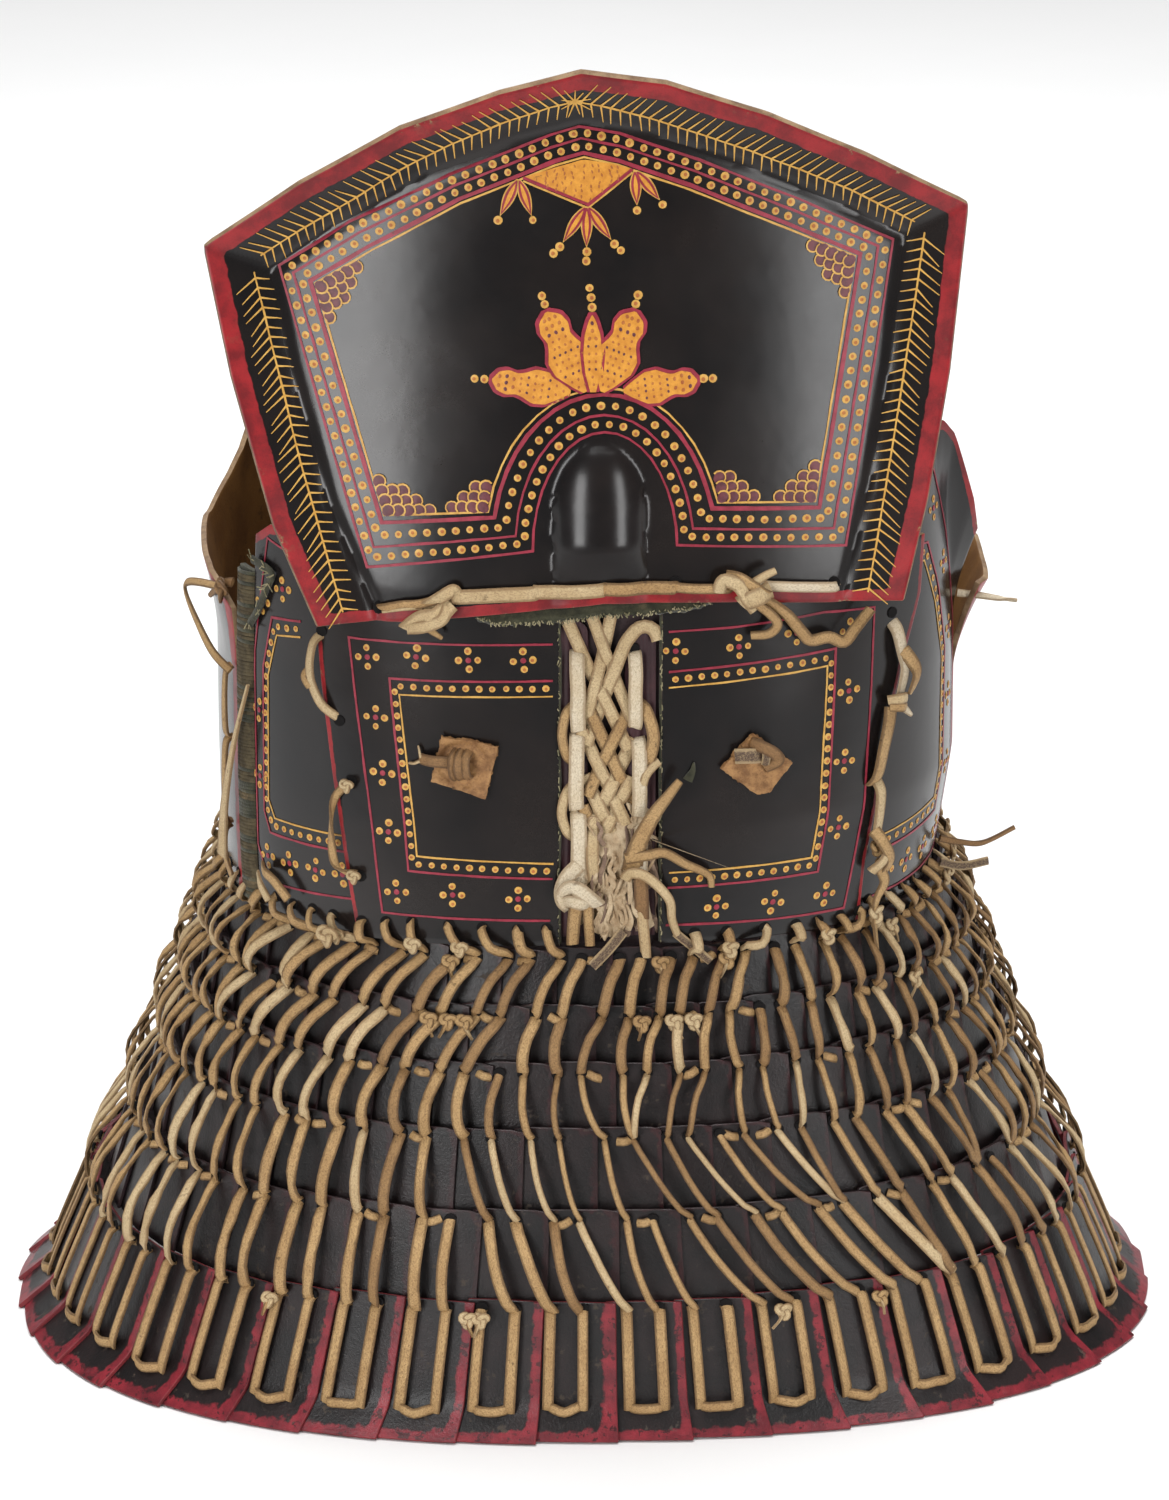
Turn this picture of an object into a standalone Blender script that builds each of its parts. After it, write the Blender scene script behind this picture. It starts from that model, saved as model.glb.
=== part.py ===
import math

import bmesh
import bpy
from mathutils import Vector

# A lacquered hide cuirass that stands on the hem of its own skirt.
# Metres, +Z up, the painted side faces -Y, the hem is at z = 0.

# The torso shell and the skirt are rounded-square loops around the body.
BODY_POWER = 2.6
SKIRT_POWER = 2.35

# Torso shell, outer face of the side panels: height, centre x, half width, half depth.
TORSO = [
    (0.2386, -0.004, 0.1765, 0.1535),
    (0.2700, -0.002, 0.1800, 0.1545),
    (0.3000, 0.000, 0.1825, 0.1555),
    (0.3600, 0.000, 0.1825, 0.1565),
    (0.4000, 0.000, 0.1815, 0.1570),
    (0.4600, 0.000, 0.1790, 0.1570),
    (0.5400, 0.000, 0.1740, 0.1550),
]
TORSO_BOTTOM = 0.2386
SEAM = 0.0003
PANEL_WALL = 0.0035
SIDE_WALL = 0.0030
TOP_PLATE_WALL = 0.0042

# Skirt rows, outer face: name, top z, bottom z, half width and half depth at the
# top, half width and half depth at the bottom.
ROWS = [
    ("skirt_row_1", 0.2383, 0.2080, 0.1775, 0.1572, 0.1830, 0.1625),
    ("skirt_row_2", 0.2120, 0.1810, 0.1880, 0.1668, 0.1935, 0.1695),
    ("skirt_row_3", 0.1850, 0.1500, 0.1985, 0.1738, 0.2055, 0.1768),
    ("skirt_row_4", 0.1540, 0.1105, 0.2105, 0.1811, 0.2200, 0.1845),
    ("skirt_row_5", 0.1145, 0.0660, 0.2250, 0.1888, 0.2400, 0.1925),
]
ROW_PLATES = 42
ROW_WALL = 0.0020
PLATE_STEP = 0.0014

# The hem row, with the flange that stands on the floor.
HEM_PLATES = 42
HEM_STEP = 0.0022
HEM_THONG_MIDDLE = 0.045

# Height, half width, half depth of the hem row's outer face, from the top down.
HEM_OUTER = [
    (0.0700, 0.2465, 0.1968),
    (0.0170, 0.2680, 0.2010),
    (0.0028, 0.2865, 0.2095),
    (0.0000, 0.2865, 0.2095),
]
# The same for its inner face, from the floor up.
HEM_INNER = [
    (0.0000, 0.2790, 0.2025),
    (0.0140, 0.2650, 0.1985),
    (0.0700, 0.2442, 0.1945),
]

# Outline of the top plate seen from the front: x and z along each of its four sides.
PLATE_LEFT = [(-0.1355, 0.4031), (-0.1557, 0.4505), (-0.1748, 0.5209), (-0.1868, 0.5815)]
PLATE_RIGHT = [(0.1443, 0.4109), (0.1560, 0.4600), (0.1665, 0.5200), (0.1755, 0.5985)]
PLATE_TOP = [
    (-0.1868, 0.5815),
    (-0.1420, 0.6148),
    (-0.0944, 0.6434),
    (-0.0478, 0.6612),
    (-0.0096, 0.6710),
    (0.0300, 0.6654),
    (0.0780, 0.6488),
    (0.1250, 0.6268),
    (0.1755, 0.5985),
]
PLATE_BOTTOM = [
    (-0.1355, 0.4031),
    (-0.0965, 0.4038),
    (-0.0364, 0.4110),
    (0.0000, 0.4160),
    (0.0646, 0.4133),
    (0.1152, 0.4091),
    (0.1443, 0.4109),
]
# Distance in from the top and side edges, and how far the turned rim stands forward there.
PLATE_RIM = [
    (0.000, 0.0140),
    (0.007, 0.0110),
    (0.016, 0.0060),
    (0.024, 0.0016),
    (0.028, -0.0008),
    (0.033, 0.0000),
]
BOSS_X = -0.0015
BOSS_HALF_WIDTH = 0.0220
BOSS_LOW_Z = 0.4600
BOSS_CAP = 0.0330
BOSS_RISE = 0.0100

# Where the front panels' upright edges run: height, left edge, right edge (degrees).
PANEL_EDGES = [
    (0.2386, -33.2, 41.5),
    (0.2700, -35.2, 40.6),
    (0.3200, -38.2, 42.0),
    (0.3675, -40.6, 47.8),
    (0.4000, -42.0, 54.0),
    (0.4280, -43.0, 56.0),
]
SLOT_LEFT = -0.0177
SLOT_RIGHT = 0.0280
PANEL_TOP = 0.4280

# Top edge of the left side panel, right side panel and back shell: degrees, height.
LEFT_TOP = [(-62.0, 0.428), (-56.0, 0.436), (-48.0, 0.440), (-30.0, 0.440)]
RIGHT_TOP = [
    (36.0, 0.470),
    (56.0, 0.480),
    (64.0, 0.476),
    (68.0, 0.468),
    (71.0, 0.450),
    (74.0, 0.431),
    (78.0, 0.414),
]
BACK_TOP = [
    (78.3, 0.385),
    (90.0, 0.383),
    (100.0, 0.388),
    (110.0, 0.402),
    (120.0, 0.426),
    (134.0, 0.470),
    (152.0, 0.514),
    (180.0, 0.530),
    (208.0, 0.514),
    (226.0, 0.475),
    (244.0, 0.434),
    (252.0, 0.414),
    (260.0, 0.401),
    (280.0, 0.400),
    (286.0, 0.395),
    (291.4, 0.386),
]
# How far the armholes' edges turn outwards, and the height over which they do.
FLARE = [
    (60.0, 0.0),
    (68.0, 0.0060),
    (74.0, 0.0125),
    (78.0, 0.0130),
    (82.0, 0.0170),
    (96.0, 0.0180),
    (112.0, 0.0),
    (248.0, 0.0),
    (262.0, 0.0085),
    (282.0, 0.0085),
    (291.4, 0.0040),
]
FLARE_HEIGHT = 0.045
LOW_HEIGHTS = [0.2386, 0.2700, 0.3000, 0.3600]
LEATHER_BLACK = (0.02, 0.018, 0.018)
SKIRT_BROWN = (0.045, 0.026, 0.026)
RAWHIDE = (0.56, 0.42, 0.24)
FELT_GREEN = (0.10, 0.12, 0.06)
WASHER_BROWN = (0.20, 0.12, 0.06)
HIDE_PALE = (0.62, 0.50, 0.34)
STRIP_PURPLE = (0.07, 0.03, 0.035)


def clear_scene():
    for item in list(bpy.data.objects):
        bpy.data.objects.remove(item, do_unlink=True)


def along(table, x, column=1):
    """Straight-line reading of one column of a table that is sorted by its first column."""
    if x <= table[0][0]:
        return table[0][column]
    for low, high in zip(table, table[1:]):
        if x <= high[0]:
            share = (x - low[0]) / (high[0] - low[0])
            return low[column] + share * (high[column] - low[column])
    return table[-1][column]


def loop_point(degrees, z, centre_x, half_width, half_depth, power):
    angle = math.radians(degrees)
    side = math.sin(angle)
    front = math.cos(angle)
    x = centre_x + half_width * math.copysign(abs(side) ** (2 / power), side)
    y = -half_depth * math.copysign(abs(front) ** (2 / power), front)
    return Vector((x, y, z))


def torso_point(degrees, z, out):
    centre_x = along(TORSO, z, 1)
    half_width = along(TORSO, z, 2) + out
    half_depth = along(TORSO, z, 3) + out
    return loop_point(degrees, z, centre_x, half_width, half_depth, BODY_POWER)


def torso_degrees(x, z):
    """The angle on the front of the torso at which the shell has this x."""
    share = (x - along(TORSO, z, 1)) / along(TORSO, z, 2)
    angle = math.asin(min(1.0, abs(share)) ** (BODY_POWER / 2))
    return math.copysign(math.degrees(angle), share)


def finish(mesh, name, colour, smooth_below=30.0):
    bmesh.ops.remove_doubles(mesh, verts=mesh.verts, dist=0.00001)
    bmesh.ops.recalc_face_normals(mesh, faces=mesh.faces)
    data = bpy.data.meshes.new(name)
    mesh.to_mesh(data)
    mesh.free()
    for face in data.polygons:
        face.use_smooth = True
    data.set_sharp_from_angle(angle=math.radians(smooth_below))
    material = bpy.data.materials.new(name)
    material.use_nodes = True
    shader = material.node_tree.nodes["Principled BSDF"]
    shader.inputs["Base Color"].default_value = (*colour, 1.0)
    shader.inputs["Roughness"].default_value = 0.4
    data.materials.append(material)
    body = bpy.data.objects.new(name, data)
    bpy.context.scene.collection.objects.link(body)
    return body


def sheet_body(name, outer, inner, colour, closed=False, smooth_below=30.0):
    """Closed wall between two equal grids of points; each grid is a list of columns."""
    mesh = bmesh.new()
    front = [[mesh.verts.new(p) for p in column] for column in outer]
    rear = [[mesh.verts.new(p) for p in column] for column in inner]
    count = len(outer)
    last = len(outer[0]) - 1
    spans = count if closed else count - 1
    for i in range(spans):
        j = (i + 1) % count
        for k in range(last):
            mesh.faces.new((front[i][k], front[j][k], front[j][k + 1], front[i][k + 1]))
            mesh.faces.new((rear[i][k], rear[i][k + 1], rear[j][k + 1], rear[j][k]))
        mesh.faces.new((front[i][0], rear[i][0], rear[j][0], front[j][0]))
        mesh.faces.new((front[i][last], front[j][last], rear[j][last], rear[i][last]))
    if not closed:
        for k in range(last):
            mesh.faces.new((front[0][k], front[0][k + 1], rear[0][k + 1], rear[0][k]))
            mesh.faces.new((front[-1][k], rear[-1][k], rear[-1][k + 1], front[-1][k + 1]))
    return finish(mesh, name, colour, smooth_below)


def polyline_point(points, share):
    """Point at a share of the way along a line of x, z points, counted by length."""
    lengths = [math.dist(a, b) for a, b in zip(points, points[1:])]
    goal = share * sum(lengths)
    for a, b, length in zip(points, points[1:], lengths):
        if goal <= length:
            part = goal / length
            return (a[0] + part * (b[0] - a[0]), a[1] + part * (b[1] - a[1]))
        goal -= length
    return points[-1]


def distance_to_line(x, z, points):
    best = 1.0
    for a, b in zip(points, points[1:]):
        run = (b[0] - a[0], b[1] - a[1])
        size = run[0] ** 2 + run[1] ** 2
        part = ((x - a[0]) * run[0] + (z - a[1]) * run[1]) / size
        part = min(1.0, max(0.0, part))
        best = min(best, math.dist((x, z), (a[0] + part * run[0], a[1] + part * run[1])))
    return best


PLATE_EDGE = PLATE_LEFT + PLATE_TOP[1:] + PLATE_RIGHT[::-1][1:]


def plate_dish(x, z):
    """The plain curve of the top plate, without its rim and boss."""
    rise = max(0.0, (z - 0.42) / 0.25)
    return -0.1685 + 0.026 * rise ** 1.3 + 1.22 * (x - 0.002) ** 2


def plate_front(x, z):
    forward = along(PLATE_RIM, distance_to_line(x, z, PLATE_EDGE))
    across = (x - BOSS_X) / BOSS_HALF_WIDTH
    above = max(0.0, z - BOSS_LOW_Z) / BOSS_CAP
    left = max(0.0, 1.0 - across ** 2 - above ** 2)
    foot = min(1.0, max(0.35, (z - 0.405) / 0.04))
    return plate_dish(x, z) - forward - BOSS_RISE * foot * left ** 0.8


def plate_outline_point(u, v):
    """x, z on the top plate from its four sides; u runs left to right, v upwards."""
    low = polyline_point(PLATE_BOTTOM, u)
    high = polyline_point(PLATE_TOP, u)
    left = polyline_point(PLATE_LEFT, v)
    right = polyline_point(PLATE_RIGHT, v)
    point = []
    for k in (0, 1):
        corners = (1 - u) * (1 - v) * PLATE_BOTTOM[0][k] + u * (1 - v) * PLATE_BOTTOM[-1][k]
        corners += (1 - u) * v * PLATE_TOP[0][k] + u * v * PLATE_TOP[-1][k]
        point.append((1 - v) * low[k] + v * high[k] + (1 - u) * left[k] + u * right[k] - corners)
    return point


def build_top_plate():
    half = [0.0, 0.025, 0.055, 0.08, 0.10, 0.14, 0.20, 0.27, 0.34, 0.40, 0.435, 0.46, 0.485]
    across = half + [1 - u for u in reversed(half)]
    upward = [0.0, 0.05, 0.11, 0.17, 0.23, 0.28, 0.34, 0.44, 0.56, 0.70, 0.80, 0.87, 0.90]
    upward += [0.92, 0.95, 0.975, 1.0]
    outer = []
    inner = []
    for u in across:
        points = [plate_outline_point(u, v) for v in upward]
        outer.append([(x, plate_front(x, z), z) for x, z in points])
        inner.append([(x, plate_front(x, z) + TOP_PLATE_WALL, z) for x, z in points])
    sheet_body("top_plate", outer, inner, LEATHER_BLACK)


def heights_to(top):
    """The shell's shared heights, then three more up to the piece's own top edge."""
    last = LOW_HEIGHTS[-1]
    return LOW_HEIGHTS + [last + (top - last) * k for k in (0.45, 0.75, 1.0)]


def torso_sheet(name, colour, left, right, top, out, wall, cells, flare=None):
    """Wall of the torso shell. left and right give degrees at a height, top a height."""
    outer = []
    inner = []
    for i in range(cells + 1):
        share = i / cells
        middle = left(0.33) + share * (right(0.33) - left(0.33))
        column = []
        back = []
        for z in heights_to(top(middle)):
            degrees = left(z) + share * (right(z) - left(z))
            lift = flare(middle, z, top(middle)) if flare else 0.0
            column.append(torso_point(degrees, z, out + lift))
            back.append(torso_point(degrees, z, out + lift - wall))
        outer.append(column)
        inner.append(back)
    return sheet_body(name, outer, inner, colour)


def armhole_flare(degrees, z, top):
    """How far the shell turns outwards towards the armhole's edge."""
    near = max(0.0, 1.0 - (top - z) / FLARE_HEIGHT)
    return along(FLARE, degrees) * near ** 1.5


FRONT_OUT = 0.0005 + PANEL_WALL


def build_front_panels():
    def left_edge(z):
        return along(PANEL_EDGES, z, 1)

    def right_edge(z):
        return along(PANEL_EDGES, z, 2)

    def slot_left(z):
        return torso_degrees(SLOT_LEFT, z)

    def slot_right(z):
        return torso_degrees(SLOT_RIGHT, z)

    def top(degrees):
        return PANEL_TOP

    for name, low, high in (
        ("front_panel_left", left_edge, slot_left),
        ("front_panel_right", slot_right, right_edge),
    ):
        torso_sheet(name, LEATHER_BLACK, low, high, top, FRONT_OUT, PANEL_WALL, 12)


def build_side_panels():
    def under_left(z):
        return along(PANEL_EDGES, z, 1) + 6.0

    def under_right(z):
        return along(PANEL_EDGES, z, 2) - 6.0

    def left_top(degrees):
        return along(LEFT_TOP, degrees)

    def right_top(degrees):
        return along(RIGHT_TOP, degrees)

    torso_sheet("side_panel_left", LEATHER_BLACK, lambda z: -62.0, under_left, left_top,
                0.0, SIDE_WALL, 9)
    torso_sheet("side_panel_right", LEATHER_BLACK, under_right, lambda z: 78.0, right_top,
                0.0, SIDE_WALL, 11, armhole_flare)


def build_side_binding():
    """Whipped edge of the opening on the left side, with its wraps as low steps."""
    outer = []
    inner = []
    for degrees in (-68.3, -67.0, -63.6, -62.3):
        lift = 0.0008 if degrees in (-67.0, -63.6) else 0.0
        column = []
        heights = [TORSO_BOTTOM + k * 0.0155 for k in range(12)]
        for k, z in enumerate(heights):
            column.append(torso_point(degrees, z, lift * (1 if k % 2 else 2.2)))
        outer.append(column)
        inner.append([torso_point(degrees, z, -SIDE_WALL) for z in heights])
    sheet_body("side_binding", outer, inner, FELT_GREEN)


def build_back_shell():
    def top(degrees):
        return along(BACK_TOP, degrees)

    torso_sheet("back_shell", LEATHER_BLACK, lambda z: 78.3, lambda z: 291.4, top,
                0.0, SIDE_WALL, 38, armhole_flare)


# Shoulder strap path: height, share of the way from the top plate to the back shell.
STRAP_PATH = [
    (0.5600, 0.0),
    (0.5850, 0.0),
    (0.5980, 0.06),
    (0.6030, 0.20),
    (0.5960, 0.42),
    (0.5800, 0.62),
    (0.5600, 0.80),
    (0.5420, 0.93),
    (0.5280, 1.0),
    (0.4950, 1.0),
]
STRAP_WALL = 0.0030


def torso_back_y(x, z, out):
    centre_x = along(TORSO, z, 1)
    share = abs(x - centre_x) / (along(TORSO, z, 2) + out)
    return (along(TORSO, z, 3) + out) * (1 - share ** BODY_POWER) ** (1 / BODY_POWER)


def build_shoulder_straps():
    for name, middle in (("shoulder_strap_left", -0.085), ("shoulder_strap_right", 0.085)):
        outer = []
        inner = []
        for x in (-0.018, -0.009, 0.0, 0.009, 0.018):
            x += middle
            line = []
            for z, share in STRAP_PATH:
                front = plate_dish(x, z) + TOP_PLATE_WALL + SEAM + STRAP_WALL
                rear = torso_back_y(x, min(z, 0.53), 0.0006)
                line.append(Vector((x, front + share * (rear - front), z)))
            outer.append([point + lean for point, lean in zip(line, wall_steps(line))])
            inner.append(line)
        sheet_body(name, outer, inner, SKIRT_BROWN)


def wall_steps(line):
    """Strap thickness at each point, square to the strap and away from the body."""
    steps = []
    for k in range(len(line)):
        ahead = line[min(k + 1, len(line) - 1)] - line[max(k - 1, 0)]
        ahead.x = 0.0
        ahead.normalize()
        steps.append(Vector((0.0, -ahead.z, ahead.y)) * STRAP_WALL)
    return steps


def patch_on_torso(name, colour, x_steps, heights, out, wall, bump=None, smooth_below=30.0):
    """Flat piece that lies on the front of the torso, laid out by x and height."""
    outer = []
    inner = []
    for i, x in enumerate(x_steps):
        column = []
        back = []
        for k, z in enumerate(heights):
            at = x(z) if callable(x) else x
            degrees = torso_degrees(at, z)
            lift = bump(i, k) if bump else 0.0
            column.append(torso_point(degrees, z, out + wall + lift))
            back.append(torso_point(degrees, z, out))
        outer.append(column)
        inner.append(back)
    return sheet_body(name, outer, inner, colour, smooth_below=smooth_below)


def build_centre_lacing():
    """The laced slot: backing, two edge strips, the braid and the torn hide below it."""
    body = [TORSO_BOTTOM, 0.2700, 0.3000, 0.3600, 0.3900, 0.4150]
    wide = [SLOT_LEFT - 0.012, SLOT_LEFT, -0.006, 0.005, 0.016, SLOT_RIGHT, SLOT_RIGHT + 0.012]
    patch_on_torso("centre_backing", SKIRT_BROWN, wide, body, -0.0018, 0.0018)
    strip_rows = [0.2430, 0.2700, 0.3000, 0.3600, 0.3800, 0.3880]
    for name, low, high in (
        ("lacing_strip_left", SLOT_LEFT + 0.0022, -0.0068),
        ("lacing_strip_right", 0.0172, SLOT_RIGHT - 0.0022),
    ):
        middle = (low + high) / 2
        half = (high - low) / 2
        steps = [lambda z, side=side: middle + side * half * (1.0 if z < 0.385 else 0.55)
                 for side in (-1.0, -0.3, 0.3, 1.0)]
        patch_on_torso(name, STRIP_PURPLE, steps, strip_rows, SEAM, 0.0020)
    for name, x in (("running_thong_left", -0.0118), ("running_thong_right", 0.0215)):
        rows = [0.2500 + 0.0066 * k for k in range(21)]
        steps = [x - 0.0024, x, x + 0.0024]

        def wave(i, k):
            return 0.0012 * abs(math.sin(math.pi * k / 4)) + (0.0004 if i == 1 else 0.0)

        patch_on_torso(name, HIDE_PALE, steps, rows, 0.0026, 0.0016, wave)
    rows = [0.3020 + 0.0059 * k for k in range(17)]
    steps = [-0.0062 + 0.00325 * k for k in range(8)]

    def weave(i, k):
        return 0.0016 if (i + k) % 4 < 2 else 0.0

    patch_on_torso("braid", HIDE_PALE, steps, rows, SEAM, 0.0026, weave)
    rows = [0.2430 + 0.0073 * k for k in range(9)]

    def torn(i, k):
        return 0.0012 * (1 + math.sin(2.7 * i + 1.9 * k) * math.cos(1.3 * i - 2.3 * k))

    patch_on_torso("torn_hide", HIDE_PALE, steps, rows, SEAM, 0.0022, torn)


def build_felt():
    """Felt piping behind the top plate's lower edge."""
    outer = []
    inner = []
    for x in [-0.060 + 0.008 * k for k in range(15)]:
        edge = plate_outline_point((x + 0.1355) / 0.2798, 0.0)[1]
        column = []
        back = []
        for drop in (0.0045, 0.0, -0.006, -0.011):
            z = edge - drop
            column.append(Vector((x, plate_dish(x, z) + TOP_PLATE_WALL + SEAM, z)))
            back.append(torso_point(torso_degrees(x, z), z, FRONT_OUT + 0.0004))
        outer.append(column)
        inner.append(back)
    sheet_body("felt_under_plate", outer, inner, FELT_GREEN)


# Humps of the thong along the top plate's lower edge: x of each stitch hole.
PLATE_THONG_HOLES = [-0.0980, -0.0860, -0.0620, -0.0250, 0.0080, 0.0420, 0.0640, 0.0800, 0.1080]
PLATE_THONG_UP = 0.0085


def build_plate_thong():
    outer = []
    inner = []
    for a, b in zip(PLATE_THONG_HOLES, PLATE_THONG_HOLES[1:]):
        for share in (0.0, 0.25, 0.75):
            outer.append(plate_thong_column(a + share * (b - a), share, True))
            inner.append(plate_thong_column(a + share * (b - a), share, False))
    outer.append(plate_thong_column(PLATE_THONG_HOLES[-1], 0.0, True))
    inner.append(plate_thong_column(PLATE_THONG_HOLES[-1], 0.0, False))
    sheet_body("plate_thong", outer, inner, RAWHIDE)


def plate_thong_column(x, share, outside):
    low = plate_outline_point((x + 0.1355) / 0.2798, 0.0)[1] + PLATE_THONG_UP
    column = []
    for k, up in enumerate((0.0, 0.0033, 0.0066)):
        z = low + up
        y = plate_front(x, z) - 0.0011
        if outside:
            y -= 0.0012 + 0.0018 * math.sin(math.pi * share) + (0.0003 if k == 1 else 0.0)
        column.append(Vector((x, y, z)))
    return column


# Hide washers with a thong knot: name, x, height, half diagonal, turn in degrees.
WASHERS = [
    ("washer_left", -0.0622, 0.3314, 0.0170, 48.0),
    ("washer_right", 0.0716, 0.3285, 0.0175, 8.0),
]


def build_washers():
    for name, x, z, half, turn in WASHERS:
        mesh = bmesh.new()
        degrees = torso_degrees(x, z)
        centre = torso_point(degrees, z, FRONT_OUT)
        side = torso_point(degrees + 1.0, z, FRONT_OUT) - torso_point(degrees - 1.0, z, FRONT_OUT)
        side.normalize()
        rise = Vector((0.0, 0.0, 1.0))
        away = rise.cross(side)
        if away.y > 0:
            away = -away
        rings = []
        profile = ((1.0, 0.0010), (1.0, 0.0030), (0.42, 0.0032), (0.36, 0.0075), (0.20, 0.0085))
        for size, lift in profile:
            ring = []
            for k in range(8):
                angle = math.radians(turn + 45.0 * k)
                reach = half * size * (1.0 if k % 2 == 0 or size < 1.0 else 0.76)
                point = centre + side * (reach * math.cos(angle)) + rise * (reach * math.sin(angle))
                ring.append(mesh.verts.new(point + away * lift))
            rings.append(ring)
        for low, high in zip(rings, rings[1:]):
            for k in range(8):
                j = (k + 1) % 8
                mesh.faces.new((low[k], low[j], high[j], high[k]))
        mesh.faces.new(list(reversed(rings[0])))
        mesh.faces.new(rings[-1])
        finish(mesh, name, WASHER_BROWN)


# Thongs that lace the front panels to the side panels: name, points as degrees, height.
EDGE_THONGS = [
    ("edge_thong_left_high", [(-41.0, 0.3840), (-42.6, 0.3700), (-42.8, 0.3560), (-41.8, 0.3480)]),
    ("edge_thong_left_low", [(-38.8, 0.3160), (-40.2, 0.3060), (-39.6, 0.2900), (-38.0, 0.2740)]),
    (
        "edge_thong_right",
        [(50.5, 0.3830), (50.0, 0.3640), (47.8, 0.3400), (45.4, 0.3100), (44.0, 0.2800), (44.4, 0.2560)],
    ),
]


def build_edge_thongs():
    for name, path in EDGE_THONGS:
        outer = []
        inner = []
        for k in range(len(path)):
            degrees, z = path[k]
            bow = 0.0012 * math.sin(math.pi * k / (len(path) - 1))
            column = []
            back = []
            for side in (-1.3, 0.0, 1.3):
                column.append(torso_point(degrees + side, z, FRONT_OUT + 0.0032 + bow))
                back.append(torso_point(degrees + side, z, FRONT_OUT + 0.0006))
            outer.append(column)
            inner.append(back)
        sheet_body(name, outer, inner, RAWHIDE)


def loop_table(half_width, half_depth, power, count):
    """Angles that cut a loop into equal lengths, starting at the front."""
    steps = 1440
    points = [
        loop_point(360.0 * k / steps, 0.0, 0.0, half_width, half_depth, power)
        for k in range(steps + 1)
    ]
    total = [0.0]
    for a, b in zip(points, points[1:]):
        total.append(total[-1] + (b - a).length)
    angles = []
    k = 0
    for i in range(count):
        goal = total[-1] * i / count
        while total[k + 1] < goal:
            k += 1
        share = (goal - total[k]) / (total[k + 1] - total[k])
        angles.append(360.0 * (k + share) / steps)
    return angles


def skirt_point(degrees, z, half_width, half_depth, out):
    return loop_point(degrees, z, 0.0, half_width + out, half_depth + out, SKIRT_POWER)


# Across one plate: share of its width where the thongs' edges fall.
ROW_SHARES = [0.0, 0.16, 0.37, 0.57, 0.78, 1.0]
HEM_SHARES = [0.0, 0.17, 0.31, 0.66, 0.80, 1.0]


def build_skirt_rows():
    """Each row is one band of lapped plates with the thongs standing out as bowed ribs."""
    for number, (name, top, low, width_top, depth_top, width_low, depth_low) in enumerate(ROWS):
        angles = loop_table(width_top, depth_top, SKIRT_POWER, ROW_PLATES)
        shift = 180.0 / ROW_PLATES * (number % 2)
        height = top - low
        mesh = bmesh.new()
        outside = []
        inside = []
        for i in range(ROW_PLATES):
            start = angles[i] + shift
            end = angles[(i + 1) % ROW_PLATES] + shift
            if end < start:
                end += 360.0
            for k, share in enumerate(ROW_SHARES):
                degrees = start + share * (end - start)
                step = PLATE_STEP * share
                high = skirt_point(degrees, top, width_top, depth_top, step)
                foot = skirt_point(degrees, low, width_low, depth_low, step)
                bow = 0.0
                if 0 < k < 5:
                    bow = 0.0034 + 0.0026 * abs(math.sin(math.radians(degrees)))
                    bow *= 1.0 + 0.16 * math.sin(2.3 * i + 1.1 * k + number)
                width = (width_top + width_low) / 2
                depth = (depth_top + depth_low) / 2
                middle = skirt_point(degrees, top - 0.52 * height, width, depth, step + bow)
                outside.append((mesh.verts.new(high), mesh.verts.new(middle) if bow else None,
                                mesh.verts.new(foot)))
            for share in (0.0, 0.5):
                degrees = start + share * (end - start)
                high = skirt_point(degrees, top, width_top, depth_top, -ROW_WALL)
                foot = skirt_point(degrees, low, width_low, depth_low, -ROW_WALL)
                inside.append((mesh.verts.new(high), mesh.verts.new(foot)))
        for i in range(ROW_PLATES):
            base = 6 * i
            after = 6 * ((i + 1) % ROW_PLATES)
            for k in range(5):
                join_strip(mesh, outside[base + k], outside[base + k + 1], k in (1, 3))
            mesh.faces.new((outside[base + 5][2], outside[after][2], outside[after][0],
                            outside[base + 5][0]))
            near = inside[2 * i]
            mid = inside[2 * i + 1]
            far = inside[(2 * i + 2) % (2 * ROW_PLATES)]
            for left, right in ((near, mid), (mid, far)):
                mesh.faces.new((left[0], right[0], right[1], left[1]))
            for level, outer_level in ((0, 0), (1, 2)):
                ring = [outside[base + k][outer_level] for k in range(6)]
                ring.append(outside[after][outer_level])
                close_edge(mesh, ring, (near[level], mid[level], far[level]))
        finish(mesh, name, SKIRT_BROWN, 40.0)


def join_strip(mesh, left, right, is_thong):
    """One upright strip of a plate's face; a thong strip bulges at its middle."""
    if is_thong:
        mesh.faces.new((left[0], left[1], right[1], right[0]))
        mesh.faces.new((left[1], left[2], right[2], right[1]))
        mesh.faces.new((left[0], left[2], left[1]))
        mesh.faces.new((right[0], right[1], right[2]))
        return
    mesh.faces.new((left[0], left[2], right[2], right[0]))


def close_edge(mesh, outer, inner):
    """Top or bottom edge of a band between six outer spans and two inner ones."""
    near, mid, far = inner
    for k in (0, 1):
        mesh.faces.new((outer[k], outer[k + 1], near))
    mesh.faces.new((outer[2], mid, near))
    for k in (2, 3, 4):
        mesh.faces.new((outer[k], outer[k + 1], mid))
    mesh.faces.new((outer[5], far, mid))
    mesh.faces.new((outer[5], outer[6], far))


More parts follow.
